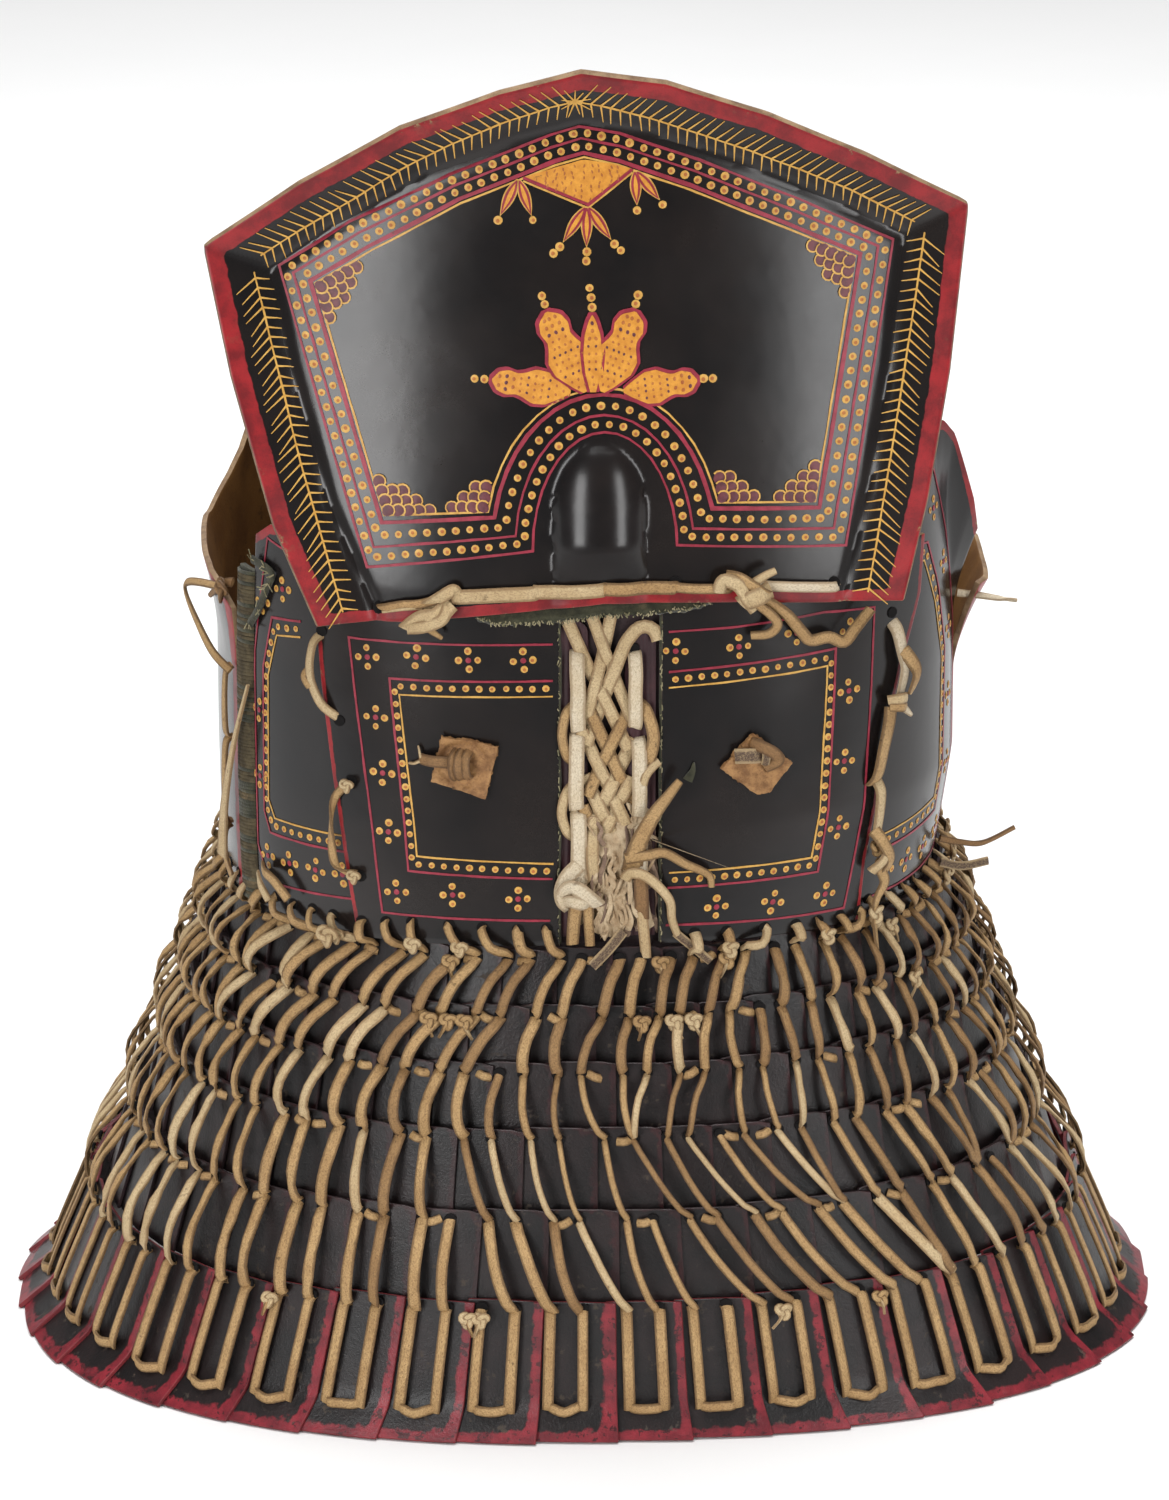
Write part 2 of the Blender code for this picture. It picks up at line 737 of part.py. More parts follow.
def build_hem_row():
    angles = loop_table(HEM_OUTER[1][1], HEM_OUTER[1][2], SKIRT_POWER, HEM_PLATES)
    mesh = bmesh.new()
    outside = []
    tips = []
    inside = []
    for i in range(HEM_PLATES):
        start = angles[i]
        end = angles[(i + 1) % HEM_PLATES]
        if end < start:
            end += 360.0
        for k, share in enumerate(HEM_SHARES):
            degrees = start + share * (end - start)
            step = HEM_STEP * share
            line = [mesh.verts.new(skirt_point(degrees, z, width, depth, step))
                    for z, width, depth in HEM_OUTER[:2]]
            middle = None
            if 0 < k < 5:
                z = HEM_THONG_MIDDLE
                width = along(HEM_OUTER[1::-1], z, 1)
                depth = along(HEM_OUTER[1::-1], z, 2)
                middle = mesh.verts.new(skirt_point(degrees, z, width, depth, step + 0.0034))
            outside.append((line[0], middle, line[1]))
            if k in (0, 5):
                tips.append([mesh.verts.new(skirt_point(degrees, z, width, depth, step))
                             for z, width, depth in HEM_OUTER[2:]])
        for share in (0.0, 0.5):
            degrees = start + share * (end - start)
            inside.append([mesh.verts.new(skirt_point(degrees, z, width, depth, 0.0))
                           for z, width, depth in HEM_INNER])
    for i in range(HEM_PLATES):
        base = 6 * i
        after = 6 * ((i + 1) % HEM_PLATES)
        near = inside[2 * i]
        mid = inside[2 * i + 1]
        far = inside[(2 * i + 2) % (2 * HEM_PLATES)]
        for k in range(5):
            join_strip(mesh, outside[base + k], outside[base + k + 1], k in (1, 3))
        left = outside[base + 5]
        right = outside[after]
        mesh.faces.new((left[0], left[2], right[2], right[0]))
        tip = (tips[2 * i], tips[2 * i + 1], tips[(2 * i + 2) % (2 * HEM_PLATES)])
        for k in range(5):
            corner = tip[0] if k < 3 else tip[1]
            mesh.faces.new((outside[base + k][2], outside[base + k + 1][2], corner[0]))
        mesh.faces.new((outside[base + 3][2], tip[1][0], tip[0][0]))
        mesh.faces.new((left[2], right[2], tip[2][0], tip[1][0]))
        for a, b in ((tip[0], tip[1]), (tip[1], tip[2])):
            mesh.faces.new((a[0], b[0], b[1], a[1]))
        for a, b in ((near, mid), (mid, far)):
            for level in (0, 1):
                mesh.faces.new((a[level], a[level + 1], b[level + 1], b[level]))
        top_ring = [outside[base + k][0] for k in range(6)] + [outside[after][0]]
        close_edge(mesh, top_ring, (near[2], mid[2], far[2]))
        mesh.faces.new((tip[0][1], near[0], mid[0]))
        mesh.faces.new((tip[0][1], mid[0], tip[1][1]))
        mesh.faces.new((tip[1][1], mid[0], far[0]))
        mesh.faces.new((tip[1][1], far[0], tip[2][1]))
    finish(mesh, "skirt_row_6", SKIRT_BROWN, 40.0)


clear_scene()
build_top_plate()
build_front_panels()
build_side_panels()
build_side_binding()
build_back_shell()
build_shoulder_straps()
build_centre_lacing()
build_felt()
build_plate_thong()
build_washers()
build_edge_thongs()
build_skirt_rows()
build_hem_row()
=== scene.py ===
import math
import random
from math import cos, dist, exp, hypot, pi, radians, sin

import bpy
import numpy as np
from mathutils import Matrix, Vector, noise


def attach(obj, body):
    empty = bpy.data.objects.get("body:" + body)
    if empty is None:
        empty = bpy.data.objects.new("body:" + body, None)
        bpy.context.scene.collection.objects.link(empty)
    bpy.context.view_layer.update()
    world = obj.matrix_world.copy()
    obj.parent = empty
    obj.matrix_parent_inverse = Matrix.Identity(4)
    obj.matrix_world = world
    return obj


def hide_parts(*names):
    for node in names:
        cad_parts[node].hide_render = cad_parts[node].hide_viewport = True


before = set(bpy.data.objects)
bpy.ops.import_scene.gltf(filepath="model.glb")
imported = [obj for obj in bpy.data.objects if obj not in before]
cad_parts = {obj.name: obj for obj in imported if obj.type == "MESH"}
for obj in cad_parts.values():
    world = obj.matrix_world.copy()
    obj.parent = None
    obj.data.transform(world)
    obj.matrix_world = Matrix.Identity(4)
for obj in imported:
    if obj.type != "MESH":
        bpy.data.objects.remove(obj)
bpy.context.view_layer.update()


# The forms that every piece lies on. Metres, +Z up, painted side to -Y, hem at z = 0.

torsoForm = {
    "power": 2.6,
    # height, centre x, half width, half depth
    "levels": [
        (0.2386, -0.004, 0.1765, 0.1535),
        (0.27, -0.002, 0.18, 0.1545),
        (0.3, 0.0, 0.1825, 0.1555),
        (0.36, 0.0, 0.1825, 0.1565),
        (0.4, 0.0, 0.1815, 0.157),
        (0.46, 0.0, 0.179, 0.157),
        (0.54, 0.0, 0.174, 0.155),
    ],
    "bottom": 0.2386,
    "panelWall": 0.0035,
    "sideWall": 0.003,
    "frontOut": 0.004,
    "measureZ": 0.33,
}

plateForm = {
    "wall": 0.0042,
    "left": [(-0.1355, 0.4031), (-0.1557, 0.4505), (-0.1748, 0.5209), (-0.1868, 0.5815)],
    "right": [(0.1443, 0.4109), (0.156, 0.46), (0.1665, 0.52), (0.1755, 0.5985)],
    "top": [
        (-0.1868, 0.5815), (-0.142, 0.6148), (-0.0944, 0.6434), (-0.0478, 0.6612),
        (-0.0096, 0.671), (0.03, 0.6654), (0.078, 0.6488), (0.125, 0.6268), (0.1755, 0.5985),
    ],
    "bottom": [
        (-0.1355, 0.4031), (-0.0965, 0.4038), (-0.0364, 0.411), (0.0, 0.416),
        (0.0646, 0.4133), (0.1152, 0.4091), (0.1443, 0.4109),
    ],
    "rimRise": 0.014,
    "rimReach": 0.027,
    "bossX": -0.0015,
    "bossHalf": 0.022,
    "bossLowZ": 0.46,
    "bossCap": 0.033,
    "bossRise": 0.01,
}


def readTable(table, x, column=1):
    if x <= table[0][0]:
        return table[0][column]
    for low, high in zip(table, table[1:]):
        if x <= high[0]:
            share = (x - low[0]) / (high[0] - low[0])
            return low[column] + share * (high[column] - low[column])
    return table[-1][column]


def loopPoint(degrees, z, centreX, halfWidth, halfDepth, power):
    angle = radians(degrees)
    side, front = sin(angle), cos(angle)
    x = centreX + halfWidth * math.copysign(abs(side) ** (2 / power), side)
    y = -halfDepth * math.copysign(abs(front) ** (2 / power), front)
    return Vector((x, y, z))


def torsoPoint(degrees, z, out):
    levels = torsoForm["levels"]
    return loopPoint(
        degrees, z, readTable(levels, z, 1),
        readTable(levels, z, 2) + out, readTable(levels, z, 3) + out, torsoForm["power"],
    )


def torsoDegrees(x, z):
    levels = torsoForm["levels"]
    share = (x - readTable(levels, z, 1)) / readTable(levels, z, 2)
    angle = math.asin(min(1.0, abs(share)) ** (torsoForm["power"] / 2))
    return math.copysign(math.degrees(angle), share)


def measureLoop():
    # length along the torso from the front centre, at each half degree
    lengths = [0.0]
    for k in range(360):
        a = torsoPoint(k / 2, torsoForm["measureZ"], torsoForm["frontOut"])
        b = torsoPoint((k + 1) / 2, torsoForm["measureZ"], torsoForm["frontOut"])
        lengths.append(lengths[-1] + (b - a).length)
    return np.array(lengths)


loopLengths = measureLoop()
loopDegrees = np.arange(361) / 2


def lengthAt(degrees):
    return math.copysign(float(np.interp(abs(degrees), loopDegrees, loopLengths)), degrees)


def degreesAt(length):
    return math.copysign(float(np.interp(abs(length), loopLengths, loopDegrees)), length)


def torsoPlace(s, z, out):
    # a point laid out by length along the torso and height
    return torsoPoint(degreesAt(s), z, out)


def between(a, b, share):
    return (a[0] + share * (b[0] - a[0]), a[1] + share * (b[1] - a[1]))


def alongLine(points, share):
    lengths = [dist(a, b) for a, b in zip(points, points[1:])]
    goal = share * sum(lengths)
    for a, b, length in zip(points, points[1:], lengths):
        if goal <= length:
            return between(a, b, goal / length)
        goal -= length
    return points[-1]


def noiseAt(x, y, z):
    return noise.noise(Vector((x, y, z)))


def jitter(size):
    return chance.uniform(-size, size)


def toLine(x, z, points):
    best = 1.0
    for a, b in zip(points, points[1:]):
        runX, runZ = b[0] - a[0], b[1] - a[1]
        part = ((x - a[0]) * runX + (z - a[1]) * runZ) / (runX * runX + runZ * runZ)
        part = min(1.0, max(0.0, part))
        best = min(best, hypot(x - a[0] - part * runX, z - a[1] - part * runZ))
    return best


plateEdge = plateForm["left"] + plateForm["top"][1:] + plateForm["right"][::-1][1:]


def plateDish(x, z):
    return -0.1685 + 0.026 * max(0.0, (z - 0.42) / 0.25) ** 1.3 + 1.22 * (x - 0.002) ** 2


def plateFront(x, z):
    near = toLine(x, z, plateEdge)
    forward = plateForm["rimRise"] * max(0.0, 1 - near / plateForm["rimReach"]) ** 1.12
    forward -= 0.0012 * exp(-(((near - 0.0285) / 0.0024) ** 2))
    across = (x - plateForm["bossX"]) / plateForm["bossHalf"]
    above = max(0.0, z - plateForm["bossLowZ"]) / plateForm["bossCap"]
    left = max(0.0, 1 - across ** 2 - above ** 2)
    foot = min(1.0, max(0.35, (z - 0.405) / 0.04))
    return plateDish(x, z) - forward - plateForm["bossRise"] * foot * left ** 0.72


def plateSpot(u, v):
    bottom, top = plateForm["bottom"], plateForm["top"]
    low, high = alongLine(bottom, u), alongLine(top, u)
    left, right = alongLine(plateForm["left"], v), alongLine(plateForm["right"], v)
    spot = []
    for k in (0, 1):
        corners = (1 - u) * (1 - v) * bottom[0][k] + u * (1 - v) * bottom[-1][k]
        corners += (1 - u) * v * top[0][k] + u * v * top[-1][k]
        spot.append((1 - v) * low[k] + v * high[k] + (1 - u) * left[k] + u * right[k] - corners)
    return spot


def platePlace(x, z, out):
    return Vector((x, plateFront(x, z) - out, z))


# Materials. Groups are built once and give only masks, values and colours.

def feed(tree, socket, value):
    # value is a number, a colour or another node's socket
    if isinstance(value, bpy.types.NodeSocket):
        tree.links.new(value, socket)
    else:
        socket.default_value = (*value, 1.0) if isinstance(value, tuple) else value


def addNode(tree, kind, inputs, **settings):
    node = tree.nodes.new("ShaderNode" + kind)
    for key, value in settings.items():
        setattr(node, key, value)
    for key, value in inputs.items():
        feed(tree, node.inputs[key], value)
    return node


def times(tree, a, b):
    return addNode(tree, "Math", {0: a, 1: b}, operation="MULTIPLY").outputs[0]


def plus(tree, a, b, clamp=False):
    return addNode(tree, "Math", {0: a, 1: b}, operation="ADD", use_clamp=clamp).outputs[0]


def minus(tree, a, b):
    return addNode(tree, "Math", {0: a, 1: b}, operation="SUBTRACT").outputs[0]


def ramp(tree, value, low, high, toLow=0.0, toHigh=1.0):
    inputs = {"Value": value, "From Min": low, "From Max": high, "To Min": toLow, "To Max": toHigh}
    return addNode(tree, "MapRange", inputs, interpolation_type="SMOOTHSTEP").outputs["Result"]


def mix(tree, share, first, second):
    return addNode(tree, "Mix", {0: share, 6: first, 7: second}, data_type="RGBA").outputs[2]


def objectCoords(tree):
    return addNode(tree, "TexCoord", {}).outputs["Object"]


def speckle(tree, coords, scale, detail=3.0, rough=0.55, distortion=0.0):
    inputs = {"Vector": coords, "Scale": scale, "Detail": detail, "Roughness": rough, "Distortion": distortion}
    return addNode(tree, "TexNoise", inputs).outputs["Fac"]


def useGroup(tree, group, **values):
    return addNode(tree, "Group", values, node_tree=group).outputs


def newGroup(name, inputs):
    group = bpy.data.node_groups.new(name, "ShaderNodeTree")
    for label, value in inputs.items():
        kind = "NodeSocketColor" if isinstance(value, tuple) else "NodeSocketFloat"
        feed(group, group.interface.new_socket(name=label, in_out="INPUT", socket_type=kind), value)
    return group, group.nodes.new("NodeGroupInput").outputs


def closeGroup(group, **outputs):
    for label in outputs:
        kind = "NodeSocketColor" if label == "Color" else "NodeSocketFloat"
        group.interface.new_socket(name=label, in_out="OUTPUT", socket_type=kind)
    end = group.nodes.new("NodeGroupOutput")
    for label, socket in outputs.items():
        group.links.new(socket, end.inputs[label])
    return group


def buildPatchGroup():
    # worn or dirty patches: a hard-edged mask from two sizes of noise
    group, given = newGroup("wornPatches", {"Size": 60.0, "Amount": 0.4, "Edge": 0.05})
    coords = objectCoords(group)
    broad = speckle(group, coords, given["Size"], 5.0, 0.62)
    fine = speckle(group, coords, 420.0, 3.0, 0.6)
    both = plus(group, times(group, broad, 0.72), times(group, fine, 0.28))
    low = minus(group, 1.0, given["Amount"])
    return closeGroup(group, Mask=ramp(group, both, low, plus(group, low, given["Edge"])))


def buildToneGroup():
    # slow change of tone over a surface plus fine specks
    group, given = newGroup("unevenTone", {
        "First": (0.5, 0.5, 0.5), "Second": (0.2, 0.2, 0.2), "Size": 40.0, "Specks": 0.2})
    coords = objectCoords(group)
    slow = ramp(group, speckle(group, coords, given["Size"], 4.0, 0.6), 0.3, 0.7)
    specks = ramp(group, speckle(group, coords, 1400.0, 2.0, 0.6), 0.45, 0.75)
    share = plus(group, slow, times(group, specks, given["Specks"]), clamp=True)
    return closeGroup(group, Color=mix(group, share, given["First"], given["Second"]), Tone=slow)


def buildReliefGroup():
    # small uneven relief, as of brushed lacquer or hide grain, as a height
    group, given = newGroup("smallRelief", {"Coarse": 90.0, "Fine": 900.0, "Mix": 0.5})
    coords = objectCoords(group)
    coarse = speckle(group, coords, given["Coarse"], 3.0, 0.5)
    fine = speckle(group, coords, given["Fine"], 3.0, 0.65)
    rest = times(group, coarse, minus(group, 1.0, given["Mix"]))
    return closeGroup(group, Height=plus(group, times(group, fine, given["Mix"]), rest))


def buildFibreGroup():
    # fibres that run along a strap, from the strap's own UV map: U across, V along
    group, given = newGroup("strapFibres", {"Across": 14.0, "Along": 60.0})
    u, v = addNode(group, "SeparateXYZ", {0: addNode(group, "TexCoord", {}).outputs["UV"]}).outputs[:2]
    inputs = {0: times(group, u, given["Across"]), 1: times(group, v, given["Along"])}
    coords = addNode(group, "CombineXYZ", inputs).outputs[0]
    offCentre = addNode(group, "Math", {0: minus(group, u, 0.5)}, operation="ABSOLUTE").outputs[0]
    wobble = times(group, speckle(group, coords, 0.45, 2.0), 0.18)
    return closeGroup(
        group,
        Fibre=speckle(group, coords, 1.0, 4.0, 0.65, 0.6),
        Edge=ramp(group, plus(group, offCentre, wobble), 0.34, 0.52),
        Blotch=ramp(group, speckle(group, objectCoords(group), 55.0, 4.0, 0.6), 0.35, 0.68),
    )


patchGroup = buildPatchGroup()
toneGroup = buildToneGroup()
reliefGroup = buildReliefGroup()
fibreGroup = buildFibreGroup()


def newMaterial(name, roughness, specular, sheen=0.0):
    material = bpy.data.materials.new(name)
    material.use_nodes = True
    tree = material.node_tree
    shader = tree.nodes["Principled BSDF"].inputs
    shader["Roughness"].default_value = roughness
    shader["Specular IOR Level"].default_value = specular
    shader["Sheen Weight"].default_value = sheen
    return material, tree, shader


def finishMaterial(tree, shader, colour, height, distance, strength):
    bump = addNode(tree, "Bump", {"Height": height, "Distance": distance, "Strength": strength})
    feed(tree, shader["Base Color"], colour)
    feed(tree, shader["Normal"], bump.outputs["Normal"])


def edgeReach(tree, size, amount):
    # distance from the painted edge, with a brushed wobble
    rim = addNode(tree, "Attribute", {}, attribute_name="rim").outputs["Fac"]
    return plus(tree, rim, times(tree, minus(tree, speckle(tree, objectCoords(tree), size), 0.5), amount))


lacquerLook = {
    "black": (0.006, 0.0052, 0.0055),
    "brown": (0.015, 0.011, 0.01),
    "red": (0.33, 0.015, 0.019),
    "darkRed": (0.15, 0.008, 0.011),
    "undercoat": (0.16, 0.085, 0.05),
    "hide": (0.3, 0.19, 0.09),
    "roughness": 0.17,
    "wear": 0.4,
}


def lacquerMaterial(name, band):
    # black lacquer whose edge band, read from the rim attribute in metres, is painted red
    look = lacquerLook
    material, tree, shader = newMaterial(name, 0.3, 0.42)
    tone = useGroup(tree, toneGroup, First=look["black"], Second=look["brown"], Size=14.0, Specks=0.25)
    relief = useGroup(tree, reliefGroup, Coarse=110.0, Fine=1500.0, Mix=0.16)
    reach = edgeReach(tree, 160.0, 0.0022)
    painted = ramp(tree, reach, band - 0.0003, band + 0.0003, 1.0, 0.0)
    patches = useGroup(tree, patchGroup, Size=90.0, Amount=look["wear"], Edge=0.03)["Mask"]
    bare = times(tree, patches, ramp(tree, reach, 0.0, 0.0035, 1.0, 0.15))
    red = useGroup(tree, toneGroup, First=look["red"], Second=look["darkRed"], Size=75.0, Specks=0.35)["Color"]
    colour = mix(tree, painted, tone["Color"], mix(tree, bare, red, look["undercoat"]))
    edgeBare = times(tree, patches, ramp(tree, reach, 0.0002, 0.0022, 1.0, 0.0))
    colour = mix(tree, edgeBare, colour, look["hide"])
    cloud = ramp(tree, speckle(tree, objectCoords(tree), 9.0, 5.0, 0.65), 0.3, 0.75, 0.0, 0.1)
    rough = plus(tree, plus(tree, cloud, look["roughness"]), times(tree, painted, 0.16))
    feed(tree, shader["Roughness"], rough)
    finishMaterial(tree, shader, colour, relief["Height"], 0.0002, 0.35)
    return material


def paintMaterial(name, first, second):
    material, tree, shader = newMaterial(name, 0.42, 0.4)
    tone = useGroup(tree, toneGroup, First=first, Second=second, Size=220.0, Specks=0.35)
    worn = useGroup(tree, patchGroup, Size=240.0, Amount=0.37, Edge=0.05)
    colour = mix(tree, times(tree, worn["Mask"], 0.55), tone["Color"], (0.05, 0.025, 0.02))
    relief = useGroup(tree, reliefGroup, Coarse=500.0, Fine=1800.0, Mix=0.5)
    finishMaterial(tree, shader, colour, relief["Height"], 0.0002, 0.5)
    return material


def strapMaterial(name, face, edge, stain):
    # rawhide: pale face, darker cut edges, fibres along it, brown stains
    material, tree, shader = newMaterial(name, 0.62, 0.35)
    fibres = useGroup(tree, fibreGroup, Across=9.0, Along=22.0)
    colour = mix(tree, times(tree, fibres["Blotch"], 0.55), face, stain)
    colour = mix(tree, ramp(tree, fibres["Fibre"], 0.4, 0.72, 0.0, 0.65), colour, edge)
    colour = mix(tree, times(tree, fibres["Edge"], 0.75), colour, edge)
    patches = useGroup(tree, patchGroup, Size=130.0, Amount=0.38, Edge=0.06)
    colour = mix(tree, times(tree, patches["Mask"], 0.6), colour, tuple(0.45 * c for c in edge))
    relief = useGroup(tree, reliefGroup, Coarse=260.0, Fine=1300.0, Mix=0.5)
    height = plus(tree, relief["Height"], times(tree, fibres["Fibre"], 0.8))
    finishMaterial(tree, shader, colour, height, 0.0006, 0.8)
    return material


def hideMaterial(name, first, second, dark, roughness=0.7, size=26.0, sheen=0.0, bumpSize=0.0006):
    material, tree, shader = newMaterial(name, roughness, 0.3, sheen)
    tone = useGroup(tree, toneGroup, First=first, Second=second, Size=size, Specks=0.4)
    patches = useGroup(tree, patchGroup, Size=70.0, Amount=0.44, Edge=0.12)
    colour = mix(tree, times(tree, patches["Mask"], 0.8), tone["Color"], dark)
    relief = useGroup(tree, reliefGroup, Coarse=140.0, Fine=800.0, Mix=0.5)
    finishMaterial(tree, shader, colour, relief["Height"], bumpSize, 0.7)
    return material


skirtLook = {
    "first": (0.019, 0.0115, 0.0115),
    "second": (0.006, 0.0048, 0.005),
    "dust": (0.12, 0.088, 0.06),
    "red": (0.24, 0.02, 0.03),
    "darkRed": (0.11, 0.012, 0.018),
}


def skirtMaterial(name, band, redShare):
    # worn brown lacquer on the skirt plates, red along the lower and right edges where redShare asks it
    look = skirtLook
    material, tree, shader = newMaterial(name, 0.42, 0.4)
    tone = useGroup(tree, toneGroup, First=look["first"], Second=look["second"], Size=32.0, Specks=0.45)
    patches = useGroup(tree, patchGroup, Size=110.0, Amount=0.42, Edge=0.08)["Mask"]
    colour = mix(tree, times(tree, patches, 0.35), tone["Color"], look["dust"])
    reach = edgeReach(tree, 230.0, 0.004)
    painted = times(tree, ramp(tree, reach, band - 0.0006, band + 0.0006, 1.0, 0.0), redShare)
    chipped = useGroup(tree, patchGroup, Size=150.0, Amount=0.45, Edge=0.04)["Mask"]
    painted = times(tree, painted, minus(tree, 1.0, times(tree, chipped, 0.75)))
    red = useGroup(tree, toneGroup, First=look["red"], Second=look["darkRed"], Size=90.0, Specks=0.3)["Color"]
    colour = mix(tree, painted, colour, red)
    feed(tree, shader["Roughness"], ramp(tree, patches, 0.0, 1.0, 0.36, 0.68))
    relief = useGroup(tree, reliefGroup, Coarse=120.0, Fine=700.0, Mix=0.45)
    finishMaterial(tree, shader, colour, relief["Height"], 0.0007, 0.6)
    return material


# Each maker's finishes: what its function takes after the name.
finishLooks = {
    lacquerMaterial: {"plate": (0.0085,), "panel": (0.003,), "side": (0.005,)},
    skirtMaterial: {"skirt": (0.0016, 0.1), "hem": (0.0042, 1.0)},
    paintMaterial: {
        "rose": ((0.34, 0.028, 0.055), (0.23, 0.016, 0.032)),
        "yellow": ((0.68, 0.4, 0.095), (0.52, 0.27, 0.05)),
        "orange": ((0.48, 0.17, 0.035), (0.33, 0.09, 0.02)),
        "ochre": ((0.72, 0.33, 0.045), (0.56, 0.22, 0.028)),
        "plumFill": ((0.16, 0.04, 0.05), (0.09, 0.022, 0.03)),
    },
    strapMaterial: {
        "strap": ((0.5, 0.32, 0.142), (0.09, 0.045, 0.016), (0.3, 0.165, 0.06)),
        "tanStrap": ((0.34, 0.2, 0.082), (0.085, 0.042, 0.016), (0.2, 0.105, 0.038)),
        "paleStrap": ((0.6, 0.46, 0.265), (0.21, 0.122, 0.054), (0.42, 0.28, 0.13)),
        "whiteStrap": ((0.69, 0.6, 0.45), (0.3, 0.205, 0.115), (0.56, 0.43, 0.26)),
        "brownStrap": ((0.29, 0.16, 0.065), (0.09, 0.045, 0.018), (0.16, 0.08, 0.03)),
        "darkStrap": ((0.085, 0.05, 0.036), (0.42, 0.3, 0.16), (0.05, 0.028, 0.02)),
    },
    hideMaterial: {
        "rawInside": ((0.2, 0.092, 0.022), (0.12, 0.05, 0.012), (0.03, 0.014, 0.005)),
        "darkInside": ((0.05, 0.026, 0.012), (0.024, 0.012, 0.006), (0.012, 0.006, 0.003)),
        "cutEdge": ((0.3, 0.2, 0.11), (0.15, 0.085, 0.045), (0.05, 0.02, 0.018), 0.7, 90.0),
        "skirtEdge": ((0.044, 0.024, 0.026), (0.024, 0.014, 0.015), (0.014, 0.008, 0.008), 0.6, 90.0),
        "hemEdge": ((0.23, 0.028, 0.034), (0.13, 0.018, 0.022), (0.05, 0.02, 0.018), 0.5, 90.0),
        "tornHide": ((0.56, 0.44, 0.29), (0.36, 0.245, 0.14), (0.13, 0.075, 0.04), 0.85, 90.0, 0.0, 0.0014),
        "tornDark": ((0.3, 0.205, 0.14), (0.15, 0.095, 0.07), (0.05, 0.026, 0.022), 0.85, 110.0, 0.0, 0.0014),
        "purpleStrip": ((0.06, 0.022, 0.026), (0.034, 0.014, 0.017), (0.016, 0.008, 0.008), 0.5, 60.0),
        "felt": ((0.064, 0.062, 0.036), (0.03, 0.03, 0.018), (0.12, 0.098, 0.054), 0.95, 180.0, 0.2, 0.0012),
        "frayPale": ((0.36, 0.31, 0.19), (0.18, 0.165, 0.09), (0.09, 0.07, 0.036), 0.9, 160.0),
        "bindBrown": ((0.105, 0.082, 0.044), (0.048, 0.036, 0.02), (0.19, 0.14, 0.075), 0.85, 200.0),
        "washer": ((0.4, 0.215, 0.085), (0.2, 0.095, 0.036), (0.06, 0.026, 0.012), 0.6, 170.0, 0.0, 0.001),
        # hole: near-black finish of the discs at the thong holes, painted shade for the dark inside of each hole
        "hole": ((0.004, 0.003, 0.003), (0.003, 0.002, 0.002), (0.002, 0.001, 0.001), 0.9, 100.0),
    },
}
finishes = {name: make(name, *look) for make, looks in finishLooks.items() for name, look in looks.items()}
print("materials ready")


# Modelling helpers.

def clearSelection():
    bpy.ops.object.select_all(action="DESELECT")


def applyModifier(piece, kind, **settings):
    clearSelection()
    piece.select_set(True)
    bpy.context.view_layer.objects.active = piece
    modifier = piece.modifiers.new(kind.title(), kind)
    for key, value in settings.items():
        setattr(modifier, key, value)
    bpy.ops.object.modifier_apply(modifier=modifier.name)


def smoothShade(piece, degrees=32):
    clearSelection()
    piece.select_set(True)
    bpy.context.view_layer.objects.active = piece
    bpy.ops.object.shade_smooth_by_angle(angle=radians(degrees))


def addGrid(name, columns, rows):
    clearSelection()
    bpy.ops.mesh.primitive_grid_add(x_subdivisions=columns, y_subdivisions=rows, size=2.0, calc_uvs=True)
    piece = bpy.context.object
    piece.name = name
    piece.data.name = name
    return piece


def declare(piece, node=None):
    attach(piece, "root")
    if node:
        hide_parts(node)
    return piece


def setRims(piece, rims):
    piece.data.attributes.new("rim", "FLOAT", "POINT").data.foreach_set("value", rims)


def bentSheet(name, columns, rows, place, wall, looks, rimOf=None, bevel=0.0005):
    # a grid moved onto its form, then given its wall and softened edges; looks are face, back and rim
    piece = addGrid(name, columns, rows)
    rims = []
    for vert in piece.data.vertices:
        u, v = (vert.co.x + 1) / 2, (vert.co.y + 1) / 2
        vert.co = place(u, v)
        rims.append(rimOf(u, v, vert.co) if rimOf else 1.0)
    setRims(piece, rims)
    for look in looks:
        piece.data.materials.append(finishes[look])
    applyModifier(piece, "SOLIDIFY", thickness=wall, offset=-1.0, use_even_offset=True,
                  material_offset=min(1, len(looks) - 1), material_offset_rim=min(2, len(looks) - 1))
    if bevel:
        applyModifier(piece, "BEVEL", width=bevel, segments=2, limit_method="ANGLE", angle_limit=radians(50))
    smoothShade(piece)
    return piece


def newStack():
    return {"points": [], "faces": [], "uvs": [], "slots": [], "count": 0}


def readUnit(piece):
    # takes a modelled unit piece apart, so that copies of it can be bent into place
    mesh = piece.data
    points = np.empty(len(mesh.vertices) * 3)
    mesh.vertices.foreach_get("co", points)
    unit = {
        "points": points.reshape(-1, 3),
        "faces": [tuple(face.vertices) for face in mesh.polygons],
        "slots": [face.material_index for face in mesh.polygons],
    }
    bpy.data.objects.remove(piece, do_unlink=True)
    return unit


def addCopy(stack, unit, points, uvs, slot=None):
    base = stack["count"]
    stack["points"].append(points)
    stack["faces"].extend([tuple(k + base for k in face) for face in unit["faces"]])
    stack["uvs"].append(uvs)
    stack["slots"].extend(unit["slots"] if slot is None else [slot] * len(unit["faces"]))
    stack["count"] += len(points)


